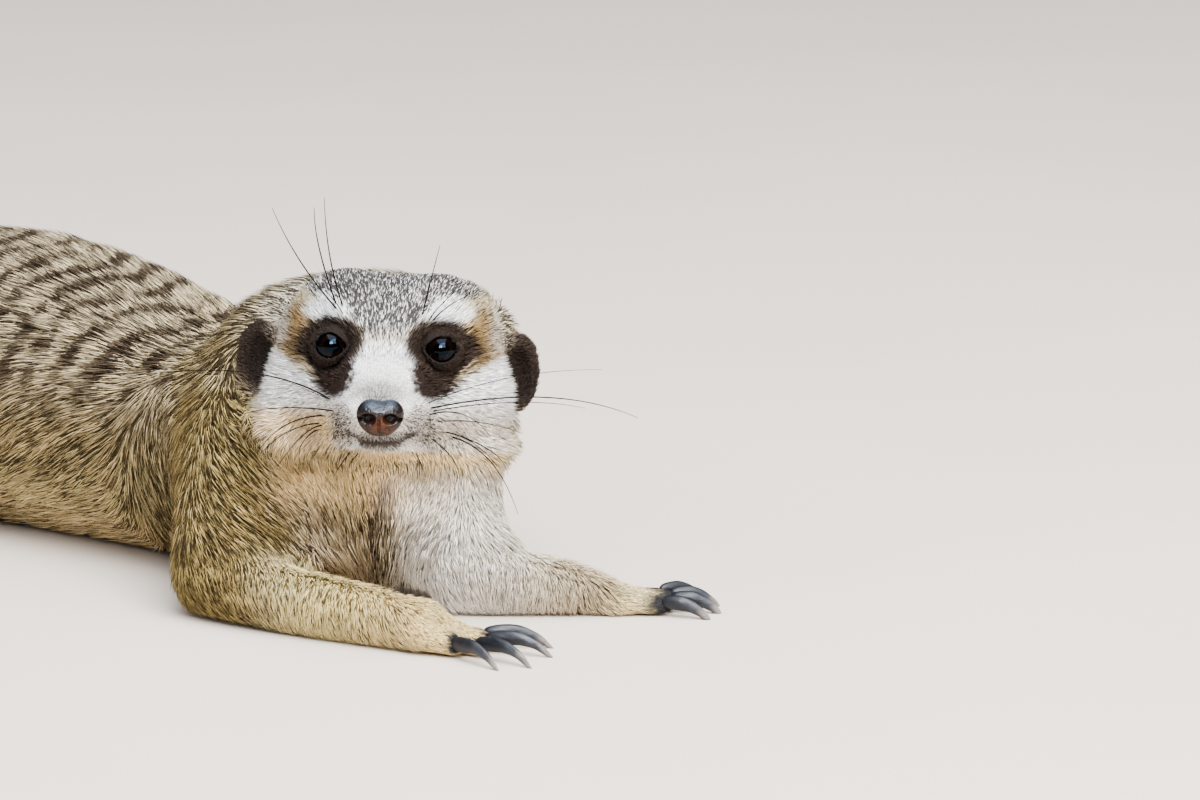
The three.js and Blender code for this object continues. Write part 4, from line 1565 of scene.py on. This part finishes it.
# %% Coat material
def coat_material():
    material, tree, shader = new_material("coat", 0.7, 0.12)
    group = node(tree, "ShaderNodeGroup", node_tree=MARKINGS)
    along = attribute(tree, "along")
    tone = ranged(tree, attribute(tree, "tone"), 0.0, 1.0, 0.8, 1.16)
    pale = worked(tree, "MULTIPLY", added(tree, "white", "cream", "taupe"), 0.34)
    root_shade = worked(tree, "ADD", pale, 0.5)
    shade = worked(tree, "MULTIPLY", tone, ranged(tree, along, 0.0, 0.6, root_shade, 1.0))
    own = mixed(tree, 1.0, group.outputs[0], grey(tree, shade), "MULTIPLY")
    ticked = worked(tree, "LESS_THAN", attribute(tree, "pick"), attribute(tree, "ticked"))
    tipped = worked(tree, "MULTIPLY", ticked, ranged(tree, along, 0.1, 0.45, 0.3, 0.9))
    tick = mixed(tree, attribute(tree, "silver"), colour("2c2319"), colour("15110f"))
    tree.links.new(mixed(tree, tipped, own, tick), shader.inputs["Base Color"])
    bumped(tree, shader, noise(tree, 2500, 2), 0.15, 0.0001)
    return material

COAT_MATERIAL = coat_material()
print(len(COAT_MATERIAL.node_tree.nodes), "nodes in the coat's material")

# %% [markdown]
# ## Regions of the coat
#
# A piece of more than two hundred thousand triangles is awkward to save, so the coat is parted by region.
# The head's coat is split down the middle and the trunk's into back and flanks.

# %% Regions of the coat
FACE = ("head", "muzzle", "lower_jaw", "ear")
root_part = root_weights.argmax(axis=1)
everywhere = np.ones(root_count, bool)
on_left = in_head(root)[:, 0] > 0
on_top = root_normal[:, 2] > 0.45
REGIONS = {
    "coat_face_right": (FACE, ~on_left, "face_fur"),
    "coat_face_left": (FACE, on_left, "face_fur"),
    "coat_neck": (("neck",), everywhere, "back_fur"),
    "coat_chest": (("chest",), everywhere, "side_fur"),
    "coat_back": (("belly",), on_top, "back_fur"),
    "coat_flanks": (("belly",), ~on_top, "side_fur"),
    "coat_rump": (("rump",), everywhere, "back_fur"),
    "coat_tail": (("tail",), everywhere, "side_fur"),
    "coat_upper_arms": (("upper_arm",), everywhere, "side_fur"),
    "coat_forearms": (("forearm",), everywhere, "pale_fur"),
    "coat_forefeet": (("forefoot",), everywhere, "pale_fur"),
    "coat_hind_legs": (("thigh", "shank"), everywhere, "side_fur"),
    "coat_hind_feet": (("hindfoot",), everywhere, "pale_fur"),
}
print(len(REGIONS), "regions")

# %% [markdown]
# ## Coat pieces
#
# Each piece gets its tufts' triangles, the masks, the tone, the way along each tuft, and for every tuft a
# small patch of the map at its root's place.

# %% Build the pieces
SPINDLE_FACES = np.array([(0, 2, 1), (0, 3, 2), (0, 1, 3), (4, 1, 2), (4, 2, 3), (4, 3, 1)])
SPINDLE_ALONG = np.array([0, BEND_AT, BEND_AT, BEND_AT, 1])
PATCH = 0.003 * np.array([(-0.5, 0), (-0.1, 0.5), (-0.1, 0), (-0.1, -0.5), (0.5, 0)])

def coat_piece(name, rows):
    count = len(rows)
    faces = (SPINDLE_FACES[None] + 5 * np.arange(count)[:, None, None]).reshape(-1, 3)
    piece = new_piece(name, spindles[rows].reshape(-1, 3), faces)
    masks = {key: values[rows].ravel() for key, values in tuft_masks.items()}
    masks["tone"] = np.repeat(tuft_tone[rows], 5)
    masks["pick"] = np.repeat(tuft_pick[rows], 5)
    masks["along"] = np.tile(SPINDLE_ALONG, count)
    write_masks(piece.data, masks)
    patch = (root_uv[rows][:, None] + PATCH[None]).reshape(-1, 2)
    layer = piece.data.uv_layers.new(name=BAKE_MAP)
    layer.uv.foreach_set("vector", patch[faces.ravel()].astype(np.float32).ravel())
    piece.data.materials.append(COAT_MATERIAL)
    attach(piece, "root")
    return piece

for name, (starts, chosen, slot) in REGIONS.items():
    inside = np.isin(root_part, [k for k, part in enumerate(FLESH) if part.startswith(starts)])
    rows = np.flatnonzero(inside & chosen)
    coat_piece(name, rows)
    print(name, len(rows), "tufts,", 6 * len(rows), "triangles")

# %% [markdown]
# ## Eyes
#
# The eye is a ball with a slightly raised clear front. It is made around its own origin, with its front
# towards -Y, so that the material can measure the iris and the pupil from its axis. Eyes and nose both
# start as this ball.

# %% A ball
def ball(name, radius, rings, sides):
    """A closed ball whose poles lie on Y, as points and quads."""
    angle = np.linspace(0, math.pi, rings + 1)[1:-1]
    turn = np.arange(sides) / sides * 2 * math.pi
    rows = np.stack(
        [
            np.outer(np.sin(angle), np.cos(turn)),
            np.outer(-np.cos(angle), np.ones(sides)),
            np.outer(np.sin(angle), np.sin(turn)),
        ],
        axis=-1,
    ).reshape(-1, 3)
    points = np.concatenate([rows, [(0, -1, 0), (0, 1, 0)]]) * radius
    quads = []
    for i in range(rings - 2):
        for j in range(sides):
            k = (j + 1) % sides
            quads.append((i * sides + j, (i + 1) * sides + j, (i + 1) * sides + k, i * sides + k))
    front, back = len(points) - 2, len(points) - 1
    last = (rings - 2) * sides
    tops = [(front, j, (j + 1) % sides) for j in range(sides)]
    tails = [(back, last + (j + 1) % sides, last + j) for j in range(sides)]
    shape = bpy.data.meshes.new(name)
    shape.from_pydata(points.tolist(), [], quads + tops + tails)
    smooth(shape)
    return shape

print("a ball of 40 rings and 64 sides has", 39 * 64 + 2, "points")

# %% [markdown]
# ## Eye material
#
# A meerkat's eye is almost black brown, with a wide dark pupil that is longer sideways. A very smooth wet
# surface with a bluish gloss makes it look alive.

# %% Eye material
PUPIL_EDGE = (1.5 * MM, 1.8 * MM)
IRIS_EDGE = (2.6 * MM, 3.4 * MM)

def eye_material():
    material, tree, shader = new_material("eye", 0.04, 0.22, Specular_Tint=(0.45, 0.68, 1.0, 1.0))
    place = node(tree, "ShaderNodeSeparateXYZ")
    tree.links.new(node(tree, "ShaderNodeTexCoord").outputs["Object"], place.inputs[0])
    x, z = (worked(tree, "POWER", place.outputs[k], 2.0) for k in (0, 2))
    wide = worked(tree, "SQRT", worked(tree, "ADD", worked(tree, "MULTIPLY", x, 0.62), z))
    out = worked(tree, "SQRT", worked(tree, "ADD", x, z))
    streaks = noise(tree, 1600, 4, (1, 0.1, 1))
    iris = mixed(tree, ranged(tree, streaks, 0.35, 0.65), colour("0a0605"), colour("180e0a"))
    iris = mixed(tree, ranged(tree, out, *IRIS_EDGE), iris, colour("070505"))
    look = mixed(tree, ranged(tree, wide, *PUPIL_EDGE), colour("020202"), iris)
    tree.links.new(look, shader.inputs["Base Color"])
    return material

EYE_MATERIAL = eye_material()
print("pupil about", round(2 * PUPIL_EDGE[0] / MM), "mm high")

# %% [markdown]
# ## Eyeballs
#
# Each ball takes the place of its solid and is turned to look at the viewer. The raised front catches the
# light as a real cornea does.

# %% Eyeballs
CORNEA = {"reach": 0.62, "rise": 0.35}

def eyeball(side):
    shape = ball("eyeball_" + side, EYE_RADIUS * MM, 40, 64)
    points = points_of(shape)
    out = np.hypot(points[:, 0], points[:, 2]) / (EYE_RADIUS * MM)
    rise = CORNEA["rise"] * MM * (1 - ramp(out, 0.1, CORNEA["reach"])) * (points[:, 1] < 0)
    set_points(shape, points * (1 + rise / (EYE_RADIUS * MM))[:, None])
    shape.materials.append(EYE_MATERIAL)
    piece = placed("eyeball_" + side, shape)
    piece.location = EYE_AT[side]
    gaze = Vector(camera.location) - piece.location
    piece.rotation_euler = gaze.to_track_quat("-Y", "Z").to_euler()
    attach(piece, "root")
    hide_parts("eye_" + side)

for side in EYE_AT:
    eyeball(side)
print("two eyeballs,", round(2 * EYE_RADIUS, 1), "mm through")

# %% [markdown]
# ## Nose
#
# The nose pad is bare, moist skin, wider than high, with a shallow furrow down its middle and a comma-
# shaped nostril on each side that opens outwards. It starts as a ball that is squeezed into the solid's
# box, and the furrow and nostrils are pressed into it.

# %% Shape of the nose
def nose_shape():
    low, high = (np.array(corner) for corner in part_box("nose"))
    shape = ball("nose_pad", 1.0, 90, 160)
    points = points_of(shape)
    x, y, z = points.T
    x = np.sign(x) * np.abs(x) ** 0.86
    x = x * (1 - 0.14 * ramp(-z, -0.2, 1.0))
    # The top of the pad, which the material paints a lighter bluish slate as a painted reflection on the wet
    # skin.
    top = ramp(z, 0.3, 0.62)
    z = np.sign(z) * np.abs(z) ** 0.9 - 0.2 * np.exp(-((x / 0.38) ** 2)) * ramp(z, 0.2, 0.9)
    front = ramp(-y, 0.0, 0.5)
    furrow = np.exp(-((x / 0.07) ** 2)) * front * ramp(-z, -0.3, 0.2)
    pit = np.zeros(len(points))
    for s in (-1, 1):
        u, w = s * x - 0.45, z + 0.04
        bowl = np.exp(-((np.hypot(u / 0.27, w / 0.23)) ** 4))
        slit = np.exp(-(((w - 0.1 + 0.5 * (u - 0.05)) / 0.09) ** 2)) * ramp(u, 0.0, 0.2)
        pit = np.maximum(pit, np.maximum(bowl, 0.8 * slit) * front)
    y = y + 0.16 * furrow + 0.6 * pit
    squeezed = np.stack([x, y, z * (1 + 0.16 * (z < 0))], axis=1)
    shape_points = (low + high) / 2 + (squeezed @ HEAD_AXES) * (high - low) / 2 + 0.5 * MM * HEAD_X
    set_points(shape, shape_points)
    inner = 1 - ramp(np.abs(x), 0.55, 0.8)
    warm = front * ramp(-z, -0.25, 0.1) * inner * (1 - ramp(-z, 0.7, 0.95))
    # The nostrils' mask carries their painted shade, and the top's mask a painted reflection.
    write_masks(shape, {"nostril": pit, "front": warm, "top": top * inner})
    return shape

nose_pad = placed("nose_pad", nose_shape())
print("nose pad of", len(nose_pad.data.polygons), "faces")

# %% [markdown]
# ## Nose material
#
# The pad's top is slightly glossy and painted a lighter bluish slate, a painted reflection on the wet skin.
# Its front is reddish brown between the nostrils, and the nostrils are painted almost black, as shade in
# their pits. A fine cobbled grain comes from a cell pattern used as a bump.

# %% Nose material
def nose_material():
    material, tree, shader = new_material("nose", 0.45, 0.3, Coat_Weight=0.25, Coat_Roughness=0.14)
    cells = node(tree, "ShaderNodeTexVoronoi")
    cells.inputs["Scale"].default_value = 1500
    tree.links.new(node(tree, "ShaderNodeTexCoord").outputs["Object"], cells.inputs["Vector"])
    look = mottled(tree, 420, 4, "0c0909", "241b1a")
    warm = mixed(tree, ranged(tree, noise(tree, 500, 3), 0.35, 0.65), colour("1c0a04"), colour("4a250d"))
    look = mixed(tree, attribute(tree, "front"), look, warm)
    # Painted reflection: the top of the pad is a lighter bluish slate.
    look = mixed(tree, attribute(tree, "top"), look, mottled(tree, 600, 4, "1c2127", "424c57"))
    # Painted shade: the nostrils' shallow pits are near black, for the depth of the openings.
    look = mixed(tree, attribute(tree, "nostril"), look, colour("0a0302"))
    tree.links.new(look, shader.inputs["Base Color"])
    bumped(tree, shader, cells.outputs["Distance"], 0.6, 0.0004)
    return material

nose_pad.data.materials.append(nose_material())
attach(nose_pad, "root")
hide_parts("nose")
print(len(nose_pad.data.materials[0].node_tree.nodes), "nodes in the nose's material")

# %% [markdown]
# ## Claws
#
# A meerkat digs, so its fore claws are long, curved and blunt. Their horn is matte, dark slate at the root
# and paler at the worn tip, with fine lines along it.

# %% Claw material
def claw_material():
    material, tree, shader = new_material("claw", 0.5, 0.4, Coat_Weight=0.08, Coat_Roughness=0.3)
    uneven = ranged(tree, noise(tree, 300, 3), 0.0, 1.0, -0.14, 0.14)
    along = worked(tree, "ADD", attribute(tree, "along"), uneven)
    dark = mottled(tree, 700, 4, "0d0f13", "22262d")
    mid = mottled(tree, 500, 4, "20232a", "404248")
    pale = mottled(tree, 500, 4, "5f5a57", "978e85")
    look = mixed(tree, ranged(tree, along, 0.25, 0.65), dark, mid)
    look = mixed(tree, ranged(tree, along, 0.65, 1.0), look, pale)
    tree.links.new(look, shader.inputs["Base Color"])
    bumped(tree, shader, noise(tree, 1500, 3, (0.35, 0.35, 1)), 0.35, 0.0003)
    return material

CLAW_MATERIAL = claw_material()
print(len(CLAW_MATERIAL.node_tree.nodes), "nodes in the claws' material")

# %% [markdown]
# ## Horns
#
# The solids already have each claw's place and curve, with flat facets. A copy is subdivided into a smooth
# horn, made a little fuller towards its root, and the root is drawn into the toe so that no gap shows.

# %% Claws
CLAW_TAPER = ((0, 0.25, 0.6, 1.0), (1.15, 1.1, 1.0, 0.95))  # way along the claw, and share of its thickness
CLAW_ROOT = 2.6 * MM  # how far the horn reaches into its toe
ROOT_END = 0.3  # the way along the claw up to which it is drawn in

def claw_piece(name):
    work = bmesh.new()
    work.from_mesh(frame["nodes"][name].data)
    bmesh.ops.remove_doubles(work, verts=work.verts, dist=0.02 * MM)
    shape = bpy.data.meshes.new(name + "_horn")
    work.to_mesh(shape)
    work.free()
    piece = placed(name + "_horn", shape)
    shape = settled(piece, "SUBSURF", levels=3)
    points = points_of(shape)
    away = np.linalg.norm((points - middle(name.split("_claw")[0]))[:, :2], axis=1)
    along = (away - away.min()) / np.ptp(away)
    core = np.stack([np.polyval(np.polyfit(along, column, 3), along) for column in points.T], axis=1)
    inwards = unit(core[along.argmin()] - core[np.abs(along - ROOT_END).argmin()])
    sunk = np.outer(1 - ramp(along, 0.0, ROOT_END), inwards) * CLAW_ROOT
    set_points(shape, core + sunk + (points - core) * np.interp(along, *CLAW_TAPER)[:, None])
    write_masks(shape, {"along": along})
    smooth(shape)
    shape.materials.clear()
    shape.materials.append(CLAW_MATERIAL)
    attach(piece, "root")
    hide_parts(name)

for name in CLAWS:
    claw_piece(name)
print(len(CLAWS), "claws")

# %% [markdown]
# ## Whiskers
#
# Whiskers are stiff, dark and tapered, and stand well clear of the coat: rows on each side of the muzzle
# that sweep out and droop, and a few above each eye that stand up. No two sides are alike, so each hair has
# its own row in a table.

# %% Table of the whiskers
# Root, middle and tip of each hair on the face, to the animal's left and up, in millimetres from between the
# eyes, then how far back its tip lies and the radius of its root.
WHISKERS = (
    ((-11.6, 8.0), (-21.8, 20.5), (-29.3, 33.7), -6, 0.228),
    ((-12.3, 8.7), (-17.2, 23.5), (-18.8, 34.2), -7, 0.228),
    ((-10.8, 8.7), (-14.6, 22.2), (-16.3, 36.7), -7, 0.228),
    ((-10.6, 7.2), (-13.6, 11.6), (-17.5, 15.0), 1, 0.152),
    ((8.7, 8.0), (10.4, 15.2), (12.9, 26.0), -6, 0.228),
    ((11.2, 6.7), (15.7, 11.2), (21.9, 14.7), 2, 0.19),
    ((10.2, 6.7), (13.9, 11.7), (18.7, 16.0), 1, 0.19),
    ((-12.3, -14.0), (-33.0, -7.6), (-61.0, -8.8), 20, 0.228),
    ((-12.6, -13.8), (-19.3, -11.3), (-24.3, -9.5), 8, 0.133),
    ((-11.8, -16.3), (-25.6, -16.0), (-36.8, -18.3), 12, 0.19),
    ((-13.3, -17.5), (-24.3, -20.0), (-32.3, -27.8), 10, 0.228),
    ((-13.6, -19.5), (-23.1, -21.3), (-31.3, -27.8), 9, 0.209),
    ((-14.3, -20.3), (-19.8, -22.0), (-27.1, -30.8), 8, 0.209),
    ((-15.6, -20.8), (-19.8, -23.3), (-22.6, -29.0), 6, 0.19),
    ((-8.6, -26.3), (-10.9, -29.7), (-12.8, -32.8), 3, 0.152),
    ((-6.4, -26.6), (-8.2, -29.0), (-9.4, -31.5), 2, 0.133),
    ((11.7, -14.8), (40.0, -11.0), (63.2, -15.3), 20, 0.228),
    ((12.0, -15.5), (33.0, -12.5), (50.0, -13.4), 16, 0.152),
    ((10.7, -13.8), (31.0, -6.5), (54.0, -3.5), 18, 0.133),
    ((11.2, -16.5), (20.0, -16.0), (26.9, -21.5), 8, 0.19),
    ((12.2, -18.3), (23.2, -17.8), (34.4, -20.3), 10, 0.171),
    ((11.7, -20.5), (20.7, -22.3), (28.2, -28.8), 8, 0.209),
    ((14.7, -21.5), (25.8, -27.0), (33.7, -40.8), 9, 0.228),
    ((16.9, -21.0), (26.9, -25.3), (30.7, -30.8), 9, 0.19),
    ((10.7, -22.0), (16.9, -27.0), (18.9, -32.8), 4, 0.171),
    ((7.6, -26.0), (9.4, -29.4), (10.2, -32.2), 2, 0.133),
)
print(len(WHISKERS), "whiskers and bristles")

# %% [markdown]
# ## The way of a whisker
#
# A whisker starts at the skin, bows through its middle and is kept a few millimetres clear of the face. A
# ray from ahead finds how deep the skin lies behind each place.

# %% Paths of the whiskers
WHISKER_STEPS = 16
WHISKER_CLEAR = 4.0
WHISKER_BOW = 6  # how far the middle comes forwards
FACE_DEPTH_AXIS = np.array([0, math.cos(FACE_TIP), -math.sin(FACE_TIP)])
FACE_UP_AXIS = np.array([0, math.sin(FACE_TIP), math.cos(FACE_TIP)])
skin_tree = BVHTree.FromPolygons(points.tolist(), [list(face.vertices) for face in mesh.polygons])

def skin_depth(x, up):
    """How deep the skin lies behind a place on the face."""
    ahead = np.array([x, 0, 0]) + up * FACE_UP_AXIS - 60 * FACE_DEPTH_AXIS
    hit = skin_tree.ray_cast(Vector(from_head(ahead)), Vector(FACE_DEPTH_AXIS @ HEAD_AXES))[0]
    return float(in_head(np.array(hit)) @ FACE_DEPTH_AXIS) if hit else 99.0

def whisker_path(first, halfway, last, back):
    t = np.linspace(0, 1, WHISKER_STEPS)[:, None]
    pull = 2 * np.array(halfway) - 0.5 * (np.array(first) + last)
    flat = (1 - t) ** 2 * first + 2 * t * (1 - t) * pull + t**2 * last
    depth = skin_depth(*first) + 1.0 + (back - 1.0) * t[:, 0] - WHISKER_BOW * (t * (1 - t))[:, 0]
    for k in range(1, WHISKER_STEPS):
        depth[k] = min(depth[k], skin_depth(*flat[k]) - WHISKER_CLEAR * min(1, 3 * t[k, 0]))
    sideways, upwards = flat.T
    path = np.outer(sideways, (1, 0, 0)) + np.outer(upwards, FACE_UP_AXIS) + np.outer(depth, FACE_DEPTH_AXIS)
    return from_head(path)

print("whiskers of", WHISKER_STEPS, "steps,", WHISKER_CLEAR, "mm clear of the face")

# %% [markdown]
# ## Whiskers as tubes
#
# Each hair is a thin tapered tube along its path, and all are joined in one piece with one dark, slightly
# uneven material.

# %% Tubes of the whiskers
WHISKER_SIDES = 5
TAPER = {"by": 0.72, "power": 1.3}

def tube(path, radius):
    """A tapered tube round a path, as points and quads, closed by its thin tip."""
    steps = len(path)
    direction = unit(np.gradient(path, axis=0))
    side = unit(np.cross(direction, (0.1, 0.2, 1)))
    other = np.cross(direction, side)
    turn = np.arange(WHISKER_SIDES) / WHISKER_SIDES * 2 * math.pi
    thick = radius * (1 - TAPER["by"] * np.linspace(0, 1, steps) ** TAPER["power"])
    rings = path[:, None] + thick[:, None, None] * (
        side[:, None] * np.cos(turn)[None, :, None] + other[:, None] * np.sin(turn)[None, :, None]
    )
    quads = []
    for i in range(steps - 1):
        for j in range(WHISKER_SIDES):
            k = (j + 1) % WHISKER_SIDES
            a, b = i * WHISKER_SIDES, (i + 1) * WHISKER_SIDES
            quads.append((a + j, a + k, b + k, b + j))
    last = (steps - 1) * WHISKER_SIDES
    ends = [tuple(range(WHISKER_SIDES))[::-1], tuple(range(last, last + WHISKER_SIDES))]
    return rings.reshape(-1, 3), quads + ends

def whiskers():
    points, faces = [], []
    start = 0
    for first, halfway, last, back, radius in WHISKERS:
        tube_points, tube_faces = tube(whisker_path(first, halfway, last, back), radius * MM)
        points.append(tube_points)
        faces.extend(tuple(v + start for v in face) for face in tube_faces)
        start += len(tube_points)
    shape = bpy.data.meshes.new("whiskers")
    shape.from_pydata(np.concatenate(points).tolist(), [], faces)
    smooth(shape)
    return shape

def whisker_material():
    material, tree, shader = new_material("whisker", 0.5, 0.15)
    tree.links.new(mottled(tree, 60, 2, "0c0908", "241d19"), shader.inputs["Base Color"])
    return material

whisker_piece = placed("whiskers_all", whiskers())
whisker_piece.data.materials.append(whisker_material())
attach(whisker_piece, "root")
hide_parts(*HAIRS)
print("whiskers:", len(whisker_piece.data.polygons), "faces")

# %% [markdown]
# ## Floor
#
# The model lies on a plain pale floor, wide enough that its edge is never seen.

# %% Floor
FLOOR_SPAN = 6.0

half_floor = FLOOR_SPAN / 2
corners = [(x * half_floor, y * half_floor, 0) for x, y in ((-1, -1), (1, -1), (1, 1), (-1, 1))]
floor_mesh = bpy.data.meshes.new("floor")
floor_mesh.from_pydata(corners, [], [(0, 1, 2, 3)])
floor = placed("floor", floor_mesh)
material, tree, shader = new_material("floor", 0.8, 0.2)
tree.links.new(mottled(tree, 6, 4, "cfc4b7", "d8cec3"), shader.inputs["Base Color"])
floor_mesh.materials.append(material)
print("floor", FLOOR_SPAN, "m wide")

# %% [markdown]
# ## Light
#
# Soft daylight comes from an even surround, a key lamp high and a little to the right, a large lamp
# overhead and a weak lamp on each side. All are large, so the shadows under the body are soft. A small lamp
# that is seen only in reflections gives each eye its spark, and the side lamps are kept out of the
# reflections.

# %% Lamps
# Degrees to the viewer's right and up, metres away, size in metres, power in watts, and tint.
LAMPS = {
    "key": (24, 47, 1.3, 0.95, 32, "fdfdff"),
    "top": (20, 82, 1.5, 1.4, 30, "f6f8ff"),
    "side": (-70, 30, 1.6, 1.0, 8, "f4f6ff"),
    "far side": (65, 22, 1.6, 1.0, 18, "fffaf4"),
    "spark": (-3, 36, 1.2, 0.5, 34, "f4f8ff"),
}

def lamp(name, turn, height, away, size, power, tint):
    """A square lamp that faces the head."""
    turn, height = math.radians(turn), math.radians(height)
    level = math.cos(height)
    towards = np.array([math.sin(turn) * level, -math.cos(turn) * level, math.sin(height)])
    light = bpy.data.lights.new(name, "AREA")
    light.size = size
    light.energy = power
    light.color = colour(tint)[:3]
    made = placed(name, light)
    made.location = HEAD_AT + towards * away
    made.rotation_euler = Vector(towards).to_track_quat("Z", "Y").to_euler()
    return made

lamps = {name: lamp(name, *values) for name, values in LAMPS.items()}
lamps["side"].visible_glossy = False
lamps["far side"].visible_glossy = False
lamps["spark"].visible_diffuse = False
print(len(lamps), "lamps")

# %% Surround
SURROUND = 0.7

world = bpy.data.worlds.new("surround")
world.use_nodes = True
surround = world.node_tree.nodes["Background"].inputs
surround["Color"].default_value = colour("eceff2")
surround["Strength"].default_value = SURROUND
world.cycles_visibility.glossy = False
bpy.context.scene.world = world
bpy.context.scene.view_settings.look = "AgX - Medium High Contrast"
print("surround of strength", SURROUND)
